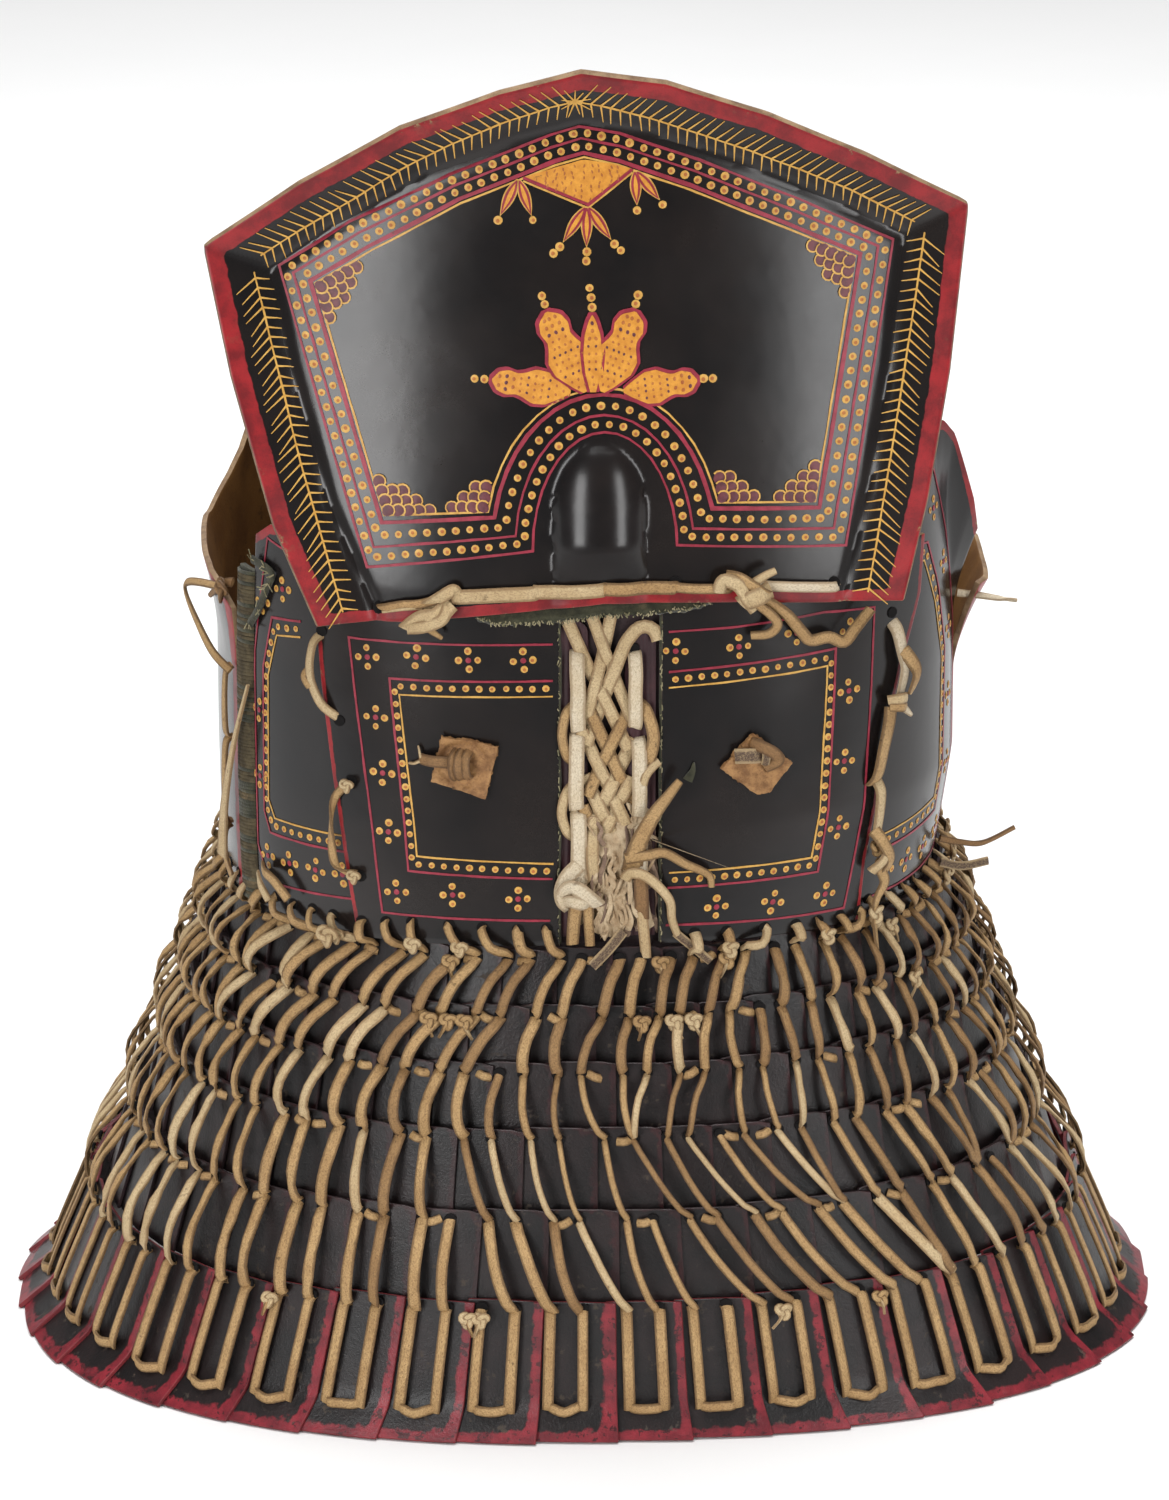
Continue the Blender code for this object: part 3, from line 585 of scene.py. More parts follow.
def finishStack(stack, name, looks, node=None, degrees=40):
    mesh = bpy.data.meshes.new(name)
    points = np.concatenate(stack["points"])
    mesh.from_pydata(points.tolist(), [], stack["faces"])
    mesh.polygons.foreach_set("material_index", stack["slots"])
    flat = np.concatenate(stack["uvs"])
    corners = np.empty(len(mesh.loops), dtype=int)
    mesh.loops.foreach_get("vertex_index", corners)
    layer = mesh.uv_layers.new(name="UVMap")
    layer.data.foreach_set("uv", flat[corners].ravel())
    for look in looks:
        mesh.materials.append(finishes[look])
    piece = bpy.data.objects.new(name, mesh)
    bpy.context.scene.collection.objects.link(piece)
    smoothShade(piece, degrees)
    return declare(piece, node)


def makeStrapUnit(name, across, along):
    # a flat strap, 1 by 1 by 1, with softened long edges
    piece = addGrid(name, across, along)
    for vert in piece.data.vertices:
        vert.co.x *= 0.5
        vert.co.y = (vert.co.y + 1) / 2
    applyModifier(piece, "SOLIDIFY", thickness=1.0, offset=0.0)
    return readUnit(piece)


strapUnit = makeStrapUnit("strapUnit", 4, 10)
longStrapUnit = makeStrapUnit("longStrapUnit", 4, 28)


def smoothPath(spots, count):
    # a smooth line through a few points
    spots = [Vector(spot) for spot in spots]
    if len(spots) == 2:
        spots.insert(1, (spots[0] + spots[1]) / 2)
    line = []
    for i in range(count):
        t = i / (count - 1) * (len(spots) - 1)
        k = min(int(t), len(spots) - 2)
        f = t - k
        a, b, c, d = (spots[min(max(k + j, 0), len(spots) - 1)] for j in (-1, 0, 1, 2))
        curve = 2 * b + (c - a) * f + (2 * a - 5 * b + 4 * c - d) * f * f
        line.append(0.5 * (curve + (3 * b - a - 3 * c + d) * f ** 3))
    return line


def addStrap(stack, spots, away, width, thick, twist=0.0, turn=0.0, taper=0.0, long=False, slot=0, unit=None):
    # lays one strap along a smooth line; away is the way its face looks
    unit = unit or (longStrapUnit if long else strapUnit)
    line = smoothPath(spots, 29 if long else 11)
    faces = [away] * len(line) if isinstance(away, Vector) else smoothPath(away, len(line))
    rows = []
    for k, spot in enumerate(line):
        ahead = (line[min(k + 1, len(line) - 1)] - line[max(k - 1, 0)]).normalized()
        side = ahead.cross(faces[k]).normalized()
        face = side.cross(ahead).normalized()
        angle = turn + twist * k / (len(line) - 1)
        c, s = cos(angle), sin(angle)
        rows.append((spot, side * c + face * s, face * c - side * s))
    spotRows, sideRows, faceRows = (np.array([row[j] for row in rows]) for j in range(3))
    local = unit["points"]
    t = local[:, 1] * (len(line) - 1)
    low = np.minimum(t.astype(int), len(line) - 2)
    part = (t - low)[:, None]
    spot = spotRows[low] * (1 - part) + spotRows[low + 1] * part
    side = sideRows[low] * (1 - part) + sideRows[low + 1] * part
    face = faceRows[low] * (1 - part) + faceRows[low + 1] * part
    wide = width * (1 - taper * local[:, 1])
    deep = thick * (1 - 0.5 * np.abs(2 * local[:, 0]) ** 2.2)
    points = spot + side * (local[:, 0] * wide)[:, None] + face * (local[:, 2] * deep)[:, None]
    length = sum((b - a).length for a, b in zip(line, line[1:]))
    seed = stack["count"] * 0.0137
    uvs = np.stack([local[:, 0] + 0.5, local[:, 1] * length / 0.02 + seed], axis=1)
    addCopy(stack, unit, points, uvs, slot)


def addKnot(stack, centre, right, up, away, size, width, thick, slot=0):
    # a small overhand knot of flat thong
    spots = []
    for k in range(13):
        t = 2 * pi * k / 12
        x = (sin(t) + 2 * sin(2 * t)) / 3
        y = (cos(t) - 2 * cos(2 * t)) / 3
        z = -sin(3 * t) / 2.4
        spots.append(centre + right * (x * size) + up * (y * size) + away * (z * size * 0.62))
    faces = [away + right * 0.5 * sin(1.7 * k) for k in range(13)]
    addStrap(stack, spots, faces, width, thick, long=True, slot=slot)


def outward(degrees):
    # roughly square to the body at this angle
    a = torsoPoint(degrees, 0.3, 0.0)
    b = torsoPoint(degrees, 0.3, 0.02)
    return (b - a).normalized()


# Top plate.

def plateRim(u, v, spot):
    return min(toLine(spot.x, spot.z, plateEdge), toLine(spot.x, spot.z, plateForm["bottom"]) * 1.5)


def evenOut(u):
    # a few more columns towards the two sides, where the rim turns
    return u - 0.028 * sin(4 * pi * u) * 0.5


topPlate = bentSheet(
    "topPlate", 150, 112,
    lambda u, v: platePlace(*plateSpot(evenOut(u), v), 0.0),
    plateForm["wall"], ["plate", "rawInside", "cutEdge"], plateRim, 0.0009,
)
declare(topPlate, "top_plate")
print("top plate")


# Waist panels, side panels and back shell.

waistLook = {
    # height, left edge, right edge, in degrees
    "edges": [
        (0.2386, -33.2, 41.5), (0.27, -35.2, 40.6), (0.32, -38.2, 42.0),
        (0.3675, -40.6, 47.8), (0.4, -42.0, 54.0), (0.428, -43.0, 56.0),
    ],
    "slotLeft": -0.02,
    "slotRight": 0.028,
    "top": 0.428,
    "leftTop": [(-62.0, 0.428), (-56.0, 0.436), (-48.0, 0.44), (-30.0, 0.44)],
    "rightTop": [
        (36.0, 0.47), (56.0, 0.48), (64.0, 0.476), (68.0, 0.468), (71.0, 0.45), (74.0, 0.431), (78.0, 0.414),
    ],
    "backTop": [
        (78.3, 0.385), (90.0, 0.383), (100.0, 0.388), (110.0, 0.402), (120.0, 0.426), (134.0, 0.47),
        (152.0, 0.514), (180.0, 0.53), (208.0, 0.514), (226.0, 0.475), (244.0, 0.434), (252.0, 0.414),
        (260.0, 0.401), (280.0, 0.4), (286.0, 0.395), (291.4, 0.386),
    ],
    # how far the armholes' edges turn outwards, and the height over which they do
    "flare": [
        (60.0, 0.0), (68.0, 0.006), (74.0, 0.0125), (78.0, 0.013), (82.0, 0.017), (96.0, 0.018),
        (112.0, 0.0), (248.0, 0.0), (262.0, 0.0085), (282.0, 0.0085), (291.4, 0.004),
    ],
    "flareHeight": 0.045,
}


def armholeFlare(degrees, z, top):
    near = max(0.0, 1.0 - (top - z) / waistLook["flareHeight"])
    return readTable(waistLook["flare"], degrees) * near ** 1.5


def shellSheet(name, node, columns, left, right, top, sides, front=False, flare=False):
    # part of the torso shell; sides names the edges that carry the painted band
    out = torsoForm["frontOut"] if front else 0.0
    wall = torsoForm["panelWall"] if front else torsoForm["sideWall"]
    looks = ["panel", "darkInside", "cutEdge"] if front else ["side", "rawInside", "cutEdge"]
    low = torsoForm["bottom"]

    def place(u, v):
        middle = left(0.33) + u * (right(0.33) - left(0.33))
        high = top(middle)
        z = low + v * (high - low)
        degrees = left(z) + u * (right(z) - left(z))
        lift = armholeFlare(middle, z, high) if flare else 0.0
        return torsoPoint(degrees, z, out + lift)

    def rim(u, v, spot):
        middle = left(0.33) + u * (right(0.33) - left(0.33))
        high = top(middle)
        width = (lengthAt(right(0.33) if abs(right(0.33)) <= 180 else 180) - lengthAt(left(0.33)))
        distances = {
            "top": (1 - v) * (high - low), "low": v * (high - low) * 1.6,
            "left": u * abs(width), "right": (1 - u) * abs(width),
        }
        return min(distances[side] for side in sides) if sides else 1.0

    piece = declare(bentSheet(name, columns, 60, place, wall, looks, rim), node)


def fixed(value):
    return lambda _: value


edgesAt = lambda column, more=0.0: (lambda z: readTable(waistLook["edges"], z, column) + more)
slotAt = lambda side: (lambda z: torsoDegrees(waistLook[side], z))
topOf = lambda table: (lambda degrees: readTable(waistLook[table], degrees))

frontTop = fixed(waistLook["top"])
shellSheet("frontPanelLeft", "front_panel_left", 80,
           edgesAt(1), slotAt("slotLeft"), frontTop, ["left"], front=True)
shellSheet("frontPanelRight", "front_panel_right", 84,
           slotAt("slotRight"), edgesAt(2), frontTop, ["right"], front=True)
shellSheet("sidePanelLeft", "side_panel_left", 44,
           fixed(-62.0), edgesAt(1, 6.0), topOf("leftTop"), ["top"])
shellSheet("sidePanelRight", "side_panel_right", 60,
           edgesAt(2, -6.0), fixed(78.0), topOf("rightTop"), ["top"], flare=True)
shellSheet("backShell", "back_shell", 220,
           fixed(78.3), fixed(291.4), topOf("backTop"), ["top", "left", "right"], flare=True)
print("torso shell")


# Shoulder straps keep the CAD form's path, with softened edges.

strapLook = {
    # height, share of the way from the top plate to the back shell
    "path": [
        (0.56, 0.0), (0.585, 0.0), (0.598, 0.06), (0.603, 0.2), (0.596, 0.42),
        (0.58, 0.62), (0.56, 0.8), (0.542, 0.93), (0.528, 1.0), (0.495, 1.0),
    ],
    "half": 0.018,
    "wall": 0.003,
}


def torsoBackY(x, z, out):
    levels = torsoForm["levels"]
    share = abs(x - readTable(levels, z, 1)) / (readTable(levels, z, 2) + out)
    return (readTable(levels, z, 3) + out) * (1 - share ** torsoForm["power"]) ** (1 / torsoForm["power"])


def strapSpot(middle, u, v):
    x = middle + (2 * u - 1) * strapLook["half"]
    path = strapLook["path"]
    t = v * (len(path) - 1)
    k = min(int(t), len(path) - 2)
    z = path[k][0] + (t - k) * (path[k + 1][0] - path[k][0])
    share = path[k][1] + (t - k) * (path[k + 1][1] - path[k][1])
    front = plateDish(x, z) + plateForm["wall"] + 0.0003 + strapLook["wall"]
    rear = torsoBackY(x, min(z, 0.53), 0.0006)
    return Vector((x, front + share * (rear - front), z))


for name, node, middle in (("shoulderStrapLeft", "shoulder_strap_left", -0.085),
                           ("shoulderStrapRight", "shoulder_strap_right", 0.085)):
    strap = bentSheet(name, 8, 54, lambda u, v: strapSpot(middle, 1 - u, v), strapLook["wall"],
                      ["skirtEdge"], None, 0.0006)
    declare(strap, node)
print("shoulder straps")


# Skirt rows: lapped plates on each row's form, then the thongs between the rows.

skirtLooks = {
    "power": 2.35,
    "plates": 42,
    # name, top z, bottom z, half width and depth at the top, half width and depth at the bottom
    "rows": [
        ("skirt_row_1", 0.2383, 0.208, 0.1775, 0.1572, 0.183, 0.1625),
        ("skirt_row_2", 0.212, 0.181, 0.188, 0.1668, 0.1935, 0.1695),
        ("skirt_row_3", 0.185, 0.15, 0.1985, 0.1738, 0.2055, 0.1768),
        ("skirt_row_4", 0.154, 0.1105, 0.2105, 0.1811, 0.22, 0.1845),
        ("skirt_row_5", 0.1145, 0.066, 0.225, 0.1888, 0.24, 0.1925),
    ],
    "wall": 0.0017,
    "step": 0.0019,
    "lap": 1.16,
    "seed": 11,
}
hemLook = {
    "plates": 42,
    # height, half width, half depth of the outer face
    "outer": [(0.07, 0.2465, 0.1968), (0.017, 0.268, 0.201), (0.0, 0.288, 0.2105)],
    "wall": 0.0024,
    "step": 0.0026,
    "lap": 1.1,
}
chance = random.Random(skirtLooks["seed"])


def evenAngles(halfWidth, halfDepth, power, count):
    spots = [loopPoint(k / 4, 0.0, 0.0, halfWidth, halfDepth, power) for k in range(1441)]
    total = np.concatenate([[0.0], np.cumsum([(b - a).length for a, b in zip(spots, spots[1:])])])
    return [float(np.interp(total[-1] * i / count, total, np.arange(1441) / 4)) for i in range(count)]


def skirtPoint(degrees, z, halfWidth, halfDepth, out):
    return loopPoint(degrees, z, 0.0, halfWidth + out, halfDepth + out, skirtLooks["power"])


def rowPoint(row, degrees, z, out):
    top, low, widthTop, depthTop, widthLow, depthLow = row[1:]
    share = (top - z) / (top - low)
    return skirtPoint(degrees, z, widthTop + share * (widthLow - widthTop), depthTop + share * (depthLow - depthTop),
        out)


def declarePlates(piece, place, count, lap, height):
    # prints the cut of a row: how many plates side by side, and their size
    around = sum((place(k + 1) - place(k)).length for k in range(360))
    print("%s: %d plates of %.4f by %.4f m" % (piece.name, count, around * lap / count, height))


def finishPlates(stack, rims, name, looks, node, wall, bevel):
    piece = finishStack(stack, name, looks, node)
    setRims(piece, rims)
    applyModifier(piece, "SOLIDIFY", thickness=wall, offset=-1.0, material_offset=1, material_offset_rim=2)
    applyModifier(piece, "BEVEL", width=bevel, segments=1, limit_method="ANGLE", angle_limit=radians(50))
    smoothShade(piece)
    return piece


def plateSpans(angles, shift=0.0):
    # where each plate of a row starts and ends, in degrees
    ends = angles[1:] + [angles[0] + 360.0]
    return [(start + shift, end + shift) for start, end in zip(angles, ends)]


def buildRow(number, row):
    angles = evenAngles(row[3], row[4], skirtLooks["power"], skirtLooks["plates"])
    shift = 180.0 / skirtLooks["plates"] * (number % 2)
    stack = newStack()
    unit = readUnit(addGrid("plateUnit", 6, 5))
    rims = []
    spans = plateSpans(angles, shift)
    for start, end in spans:
        droop = chance.uniform(-0.0004, 0.0013)
        lean = jitter(0.0006)
        points = []
        for x, y, z in unit["points"]:
            u, v = (x + 1) / 2, (y + 1) / 2
            share = u * skirtLooks["lap"]
            degrees = start + share * (end - start)
            corner = 0.0012 * max(0.0, (abs(2 * u - 1) - 0.6) / 0.4) ** 2
            top = row[1] - droop - lean * (u - 0.5) - corner
            height = row[2] + v * (top - row[2])
            points.append(rowPoint(row, degrees, height, 0.0001 + skirtLooks["step"] * share))
            rims.append(min((1 - u) * 0.025, (1 - v) * 0.03 + 0.0012))
        uvs = np.stack([(unit["points"][:, 0] + 1) / 2, (unit["points"][:, 1] + 1) / 2], axis=1)
        addCopy(stack, unit, np.array(points), uvs, 0)
    piece = finishPlates(stack, rims, "skirtPlates%d" % (number + 1), ["skirt", "skirtEdge", "skirtEdge"], row[0],
                         skirtLooks["wall"], 0.0003)
    declarePlates(piece, lambda degrees: rowPoint(row, degrees, (row[1] + row[2]) / 2, 0.0),
                  skirtLooks["plates"], skirtLooks["lap"], row[1] - row[2])
    return spans


rowSpans = [buildRow(number, row) for number, row in enumerate(skirtLooks["rows"])]
print("skirt rows")


def hemPoint(degrees, z, out):
    table = [(-height, width, depth) for height, width, depth in hemLook["outer"]]
    return skirtPoint(degrees, z, readTable(table, -z, 1), readTable(table, -z, 2), out)


def buildHem():
    angles = evenAngles(0.268, 0.201, skirtLooks["power"], hemLook["plates"])
    stack = newStack()
    unit = readUnit(addGrid("hemUnit", 6, 9))
    rims = []
    spans = plateSpans(angles)
    levels = [0.0, 0.005, 0.011, 0.015, 0.0185, 0.024, 0.035, 0.048, 0.06, 0.07]
    for start, end in spans:
        droop = chance.uniform(-0.0005, 0.002)
        flare = chance.uniform(-0.0012, 0.0004)
        points = []
        for x, y, z in unit["points"]:
            u, v = (x + 1) / 2, (y + 1) / 2
            share = u * hemLook["lap"]
            degrees = start + share * (end - start)
            height = levels[round(v * 9)]
            top = levels[-1] - droop
            height = min(height, top) if v < 1 else top
            turned = flare * max(0.0, 1 - height / 0.014)
            cup = -0.0012 * (1 - (2 * u - 1) ** 2) * min(1.0, height / 0.02)
            out = hemLook["step"] * (share - 0.1) + turned + cup
            points.append(hemPoint(degrees, height + 0.0012 * (height < 0.004), out))
            rims.append(min((1 - u) * 0.036, max(0.0, height - 0.001) * 0.9 + 0.0004))
        uvs = np.stack([(unit["points"][:, 0] + 1) / 2, (unit["points"][:, 1] + 1) / 2], axis=1)
        addCopy(stack, unit, np.array(points), uvs, 0)
    piece = finishPlates(stack, rims, "hemPlates", ["hem", "skirtEdge", "hemEdge"], "skirt_row_6", hemLook["wall"],
        0.0004)
    for vert in piece.data.vertices:
        vert.co.z = max(vert.co.z, 0.0)
    declarePlates(piece, lambda degrees: hemPoint(degrees, 0.035, 0.0), hemLook["plates"], hemLook["lap"], 0.0755)
    return spans


hemSpans = buildHem()
print("hem row")


# Thongs between the rows. Each runs from a hole near one row's top to a hole in the row below.

thongLook = {
    "hole": 0.0062,
    "shares": (0.27, 0.68),
    "thick": 0.0019,
    "seed": 23,
    # lean of the lower end along the skirt in metres, at degrees from the front, for each row
    "lean": [
        [(-100, 0.0), (-60, -0.006), (-25, -0.013), (0, -0.01), (30, -0.004), (70, 0.004), (110, 0.0)],
        [(-100, 0.0), (-50, -0.006), (-12, -0.01), (8, -0.004), (30, 0.003), (70, 0.002), (110, 0.0)],
        [(-100, 0.0), (-40, -0.003), (0, 0.0), (12, -0.006), (25, -0.002), (60, 0.004), (110, 0.0)],
        [(-100, 0.0), (-35, 0.002), (-12, 0.009), (4, 0.018), (14, 0.026), (28, 0.012), (60, 0.008), (110, 0.0)],
        [(-100, 0.0), (-45, 0.002), (-18, 0.008), (0, 0.017), (14, 0.026), (30, 0.019), (60, 0.008), (110, 0.0)],
    ],
    # width at degrees from the front, for each row
    "width": [
        [(-180, 0.0052), (-20, 0.0054), (20, 0.005), (180, 0.005)],
        [(-180, 0.0052), (-20, 0.0056), (12, 0.0048), (30, 0.0046), (180, 0.005)],
        [(-180, 0.0052), (-18, 0.0056), (-5, 0.0034), (18, 0.003), (34, 0.0046), (180, 0.005)],
        [(-180, 0.0052), (-22, 0.0056), (-6, 0.003), (16, 0.0032), (32, 0.0048), (180, 0.005)],
        [(-180, 0.0052), (-10, 0.0058), (2, 0.0034), (12, 0.0044), (30, 0.0052), (180, 0.0052)],
    ],
    "bow": [0.0074, 0.0062, 0.006, 0.0062, 0.006],
    # looks to draw from, left and right of the front
    "tones": [(0, 0, 0, 2), (0, 0, 3, 3, 2)],
}
chance = random.Random(thongLook["seed"])


def frontDegrees(degrees):
    degrees %= 360.0
    return degrees - 360.0 if degrees > 180.0 else degrees


def holeAngles(spans):
    return sorted((start + share * (end - start)) % 360.0 for start, end in spans for share in thongLook["shares"])


def nearestAngle(angles, goal):
    return min(angles, key=lambda angle: abs(frontDegrees(angle - goal)))


# the disc laid at each thong hole in the near-black hole finish: painted shade for the inside of the hole
def makeHoleShadeDisc():
    clearSelection()
    bpy.ops.mesh.primitive_cylinder_add(vertices=10, radius=1.0, depth=1.0, end_fill_type="TRIFAN")
    return readUnit(bpy.context.object)


holeShadeDisc = makeHoleShadeDisc()


def addDisc(stack, unit, centre, right, up, away, halfWidth, halfHeight, thick, slot=0):
    local = unit["points"]
    points = np.array(centre) + np.outer(local[:, 0] * halfWidth, np.array(right))
    points += np.outer(local[:, 1] * halfHeight, np.array(up)) + np.outer(local[:, 2] * thick, np.array(away))
    addCopy(stack, unit, points, local[:, :2] * 0.5 + 0.5, slot)


def rowFrame(place, degrees, z):
    # a point on a row with its right, up and outward ways
    spot = place(degrees, z, 0.0)
    right = (place(degrees + 0.5, z, 0.0) - place(degrees - 0.5, z, 0.0)).normalized()
    away = (place(degrees, z, 0.01) - spot).normalized()
    up = (place(degrees, z + 0.003, 0.0) - place(degrees, z - 0.003, 0.0)).normalized()
    return spot, right, up, right.cross(up).normalized()


def rowPlace(number):
    if number == 5:
        return hemPoint
    return lambda degrees, z, out: rowPoint(skirtLooks["rows"][number], degrees, z, out)


def rowTop(number):
    return 0.07 if number == 5 else skirtLooks["rows"][number][1]


def buildThongs(number):
    stack = newStack()
    place, below = rowPlace(number), rowPlace(number + 1)
    spans = hemSpans if number == 4 else rowSpans[number + 1]
    targets = holeAngles(spans)
    highZ, lowZ = rowTop(number) - thongLook["hole"], rowTop(number + 1) - thongLook["hole"]
    for angle in holeAngles(rowSpans[number]):
        front = frontDegrees(angle)
        lean = readTable(thongLook["lean"][number], front)
        perDegree = (place(angle + 1, highZ, 0.0) - place(angle, highZ, 0.0)).length
        goal = nearestAngle(targets, angle + lean / perDegree)
        top, right, up, away = rowFrame(place, angle, highZ)
        low, lowRight, lowUp, lowAway = rowFrame(below, goal, lowZ)
        width = readTable(thongLook["width"][number], front) * chance.uniform(0.88, 1.1)
        bow = thongLook["bow"][number] * chance.uniform(0.7, 1.24)
        bulge = jitter(0.0006) - (0.0026 if number < 3 else 0.0) * (1 if front < 20 else 0.3)
        if number > 2:
            bulge -= 0.12 * lean
        spots = [top - away * 0.001 + up * 0.0004, top + away * 0.0034 - up * 0.0012]
        faces = [away * 0.7 + right * chance.uniform(-0.9, 0.5), away]
        for t in (0.3, 0.5, 0.7, 0.86):
            base = top.lerp(low, t) + away * 0.003
            base += away * bow * sin(pi * t ** 1.35) + right * bulge * sin(pi * t)
            spots.append(base)
            faces.append(away.lerp(lowAway, t) + right * jitter(0.38))
        spots += [low + lowAway * 0.0042 + lowUp * 0.0022, low - lowAway * 0.0012]
        faces += [lowAway + right * jitter(0.3), lowAway * 0.5 + lowUp]
        tone = chance.choice(thongLook["tones"][0 if front < -25 else 1])
        addStrap(stack, spots, faces, width, thongLook["thick"] * chance.uniform(0.9, 1.15), slot=tone)
        # near-black disc where the thong goes in: painted shade for the inside of the hole
        addDisc(stack, holeShadeDisc, top + away * 0.0018 + up * 0.0006, right, up, away, 0.0031, 0.0027, 0.0016, 1)
        if chance.random() < 0.42:
            side = top + right * chance.uniform(0.004, 0.01) + away * 0.0026 - up * 0.0006
            tilt = up * jitter(0.0016)
            ends = [side - right * 0.0034 - tilt - away * 0.0012, side + away * 0.001,
                side + right * 0.0034 + tilt - away * 0.0012]
            addStrap(stack, ends, away + up * 0.3, 0.0042, 0.0016)
    looks = ["strap", "hole", "paleStrap", "tanStrap"]
    finishStack(stack, "skirtThongs%d" % (number + 1), looks)


for number in range(5):
    buildThongs(number)
print("skirt thongs")


def buildHemThongs():
    # a flat thong goes down, across and up again on each hem plate
    stack = newStack()
    for start, end in hemSpans:
        def spot(share, z, out):
            return hemPoint(start + share * (end - start), z, out + hemLook["step"] * share)
        left, right = 0.235 + jitter(0.01), 0.725 + jitter(0.012)
        high, low = 0.064, 0.0155 + jitter(0.001)
        away = (spot(0.5, 0.03, 0.01) - spot(0.5, 0.03, 0.0)).normalized()
        for share, lean in ((left, chance.uniform(0.0, 0.02)), (right, chance.uniform(0.0, 0.02))):
            spots = [
                spot(share, high + 0.0016, -0.001), spot(share, high, 0.0022),
                spot(share + lean * 0.3, 0.054, 0.0026),
                spot(share + lean * 0.7, 0.034, 0.003), spot(share + lean, low + 0.004, 0.0026),
                spot(share + lean, low - 0.0012, -0.0008),
            ]
            addStrap(stack, spots, away, 0.0056 * chance.uniform(0.92, 1.08), 0.0018)
            across = (spot(1, high, 0) - spot(0, high, 0)).normalized()
            # near-black disc at the hole: painted shade for its dark inside
            addDisc(stack, holeShadeDisc, spot(share, high + 0.0028, 0.0006), across, Vector((0, 0, 1)), away,
                    0.003, 0.0026, 0.0012, 1)
        dip = chance.uniform(-0.0012, 0.0008)
        spots = [
            spot(left + 0.02, low, -0.0004), spot(left + 0.1, low + 0.0002, 0.0026), spot(0.5, low + dip, 0.003),
            spot(right - 0.08, low + 0.0006, 0.0026), spot(right + 0.01, low + 0.0008, -0.0004),
        ]
        addStrap(stack, spots, away, 0.005, 0.0018)
    finishStack(stack, "hemThongs", ["strap", "hole"])


buildHemThongs()
print("hem thongs")


# Painted marks: thin raised paint laid on the plates.

paintLook = {
    "thick": 0.0002,
    "lift": 0.00016,
    "seed": 41,
    "wobble": 0.00016,
}
chance = random.Random(paintLook["seed"])
lineUnits = {}


def lineUnit(count):
    if count not in lineUnits:
        lineUnits[count] = makeStrapUnit("lineUnit%d" % count, 1, count)
    return lineUnits[count]


def makeDabUnit():
    clearSelection()
    bpy.ops.mesh.primitive_uv_sphere_add(segments=10, ring_count=5, radius=1.0)
    return readUnit(bpy.context.object)


dabUnit = makeDabUnit()


def addLine(stack, place, corners, width, slot=0, lift=0, close=False, widths=None, step=0.004, steady=False):
    # a brush line through corners laid out flat; widths gives its breadth along the way
    rows = []
    total = sum(dist(a, b) for a, b in zip(corners, corners[1:]))
    walked = 0.0
    for k, (a, b) in enumerate(zip(corners, corners[1:])):
        run = dist(a, b)
        count = max(1, math.ceil(run / step))
        for j in range(count + (k == len(corners) - 2)):
            t = j / count
            rows.append((*between(a, b, t), (walked + t * run) / total))
        walked += run
    sides = []
    for k in range(len(rows)):
        before, after = rows[max(k - 1, 0)], rows[min(k + 1, len(rows) - 1)]
        if close and k in (0, len(rows) - 1):
            before, after = rows[-2], rows[1]
        here = rows[k]
        ways = []
        for p, q in ((before, here), (here, after)):
            run = hypot(q[0] - p[0], q[1] - p[1])
            if run > 1e-9:
                ways.append(((q[1] - p[1]) / run, (p[0] - q[0]) / run))
        x, z = sum(way[0] for way in ways), sum(way[1] for way in ways)
        size = hypot(x, z) or 1.0
        x, z = x / size, z / size
        mitre = 1 / max(0.5, x * ways[0][0] + z * ways[0][1])
        sides.append((x * mitre, z * mitre))
    unit = lineUnit(len(rows) - 1)
    seed = chance.random() * 90
    points = []
    for x, y, z in unit["points"]:
        k = round(y * (len(rows) - 1))
        row, side = rows[k], sides[k]
        swing = 0.0 if steady else noiseAt(row[0] * 90, row[1] * 90, seed)
        breadth = widths(row[2]) if widths else width * (1 + 0.35 * swing)
        across = x * breadth + (0.0 if steady else swing * paintLook["wobble"])
        lifted = paintLook["lift"] * (1 + lift) + (z + 0.5) * paintLook["thick"]
        points.append(place(row[0] + side[0] * across, row[1] + side[1] * across, lifted))
    uvs = np.stack([unit["points"][:, 0] + 0.5, unit["points"][:, 1] * total / 0.02], axis=1)
    addCopy(stack, unit, np.array([tuple(point) for point in points]), uvs, slot)


def addDab(stack, place, x, z, wide, tall, slot=0, lift=0, turn=0.0, rise=0.00024):
    centre = np.array(place(x, z, paintLook["lift"] * (0.6 + lift)))
    right = np.array(place(x + 0.002, z, 0.0)) - np.array(place(x - 0.002, z, 0.0))
    up = np.array(place(x, z + 0.002, 0.0)) - np.array(place(x, z - 0.002, 0.0))
    right, up = right / 0.004, up / 0.004
    away = np.cross(right, up)
    away /= np.linalg.norm(away)
    local = dabUnit["points"]
    c, s = cos(turn), sin(turn)
    a, b = local[:, 0] * wide / 2, local[:, 1] * tall / 2
    points = centre + np.outer(a * c - b * s, right) + np.outer(a * s + b * c, up)
    points += np.outer(local[:, 2] * rise, away)
    addCopy(stack, dabUnit, points, local[:, :2] * 0.5 + 0.5, slot)


def addRing(stack, place, x, z, size=0.004):
    # a yellow dab with a small darker eye
    size *= chance.uniform(0.9, 1.1)
    x += jitter(0.0002)
    z += jitter(0.0002)
    addDab(stack, place, x, z, size * chance.uniform(0.92, 1.06), size, 1, 0.4)
    turn = chance.uniform(0, 6.28)
    off = size * 0.07
    addDab(stack, place, x + off * cos(turn), z + off * sin(turn), size * 0.44, size * 0.44, 2, 1.8)


def addRings(stack, place, corners, pitch, size=0.004):
    lengths = [dist(a, b) for a, b in zip(corners, corners[1:])]
    count = max(2, round(sum(lengths) / pitch))
    for k in range(count):
        spot = alongLine(corners, (k + 0.5) / count)
        addRing(stack, place, spot[0], spot[1], size)


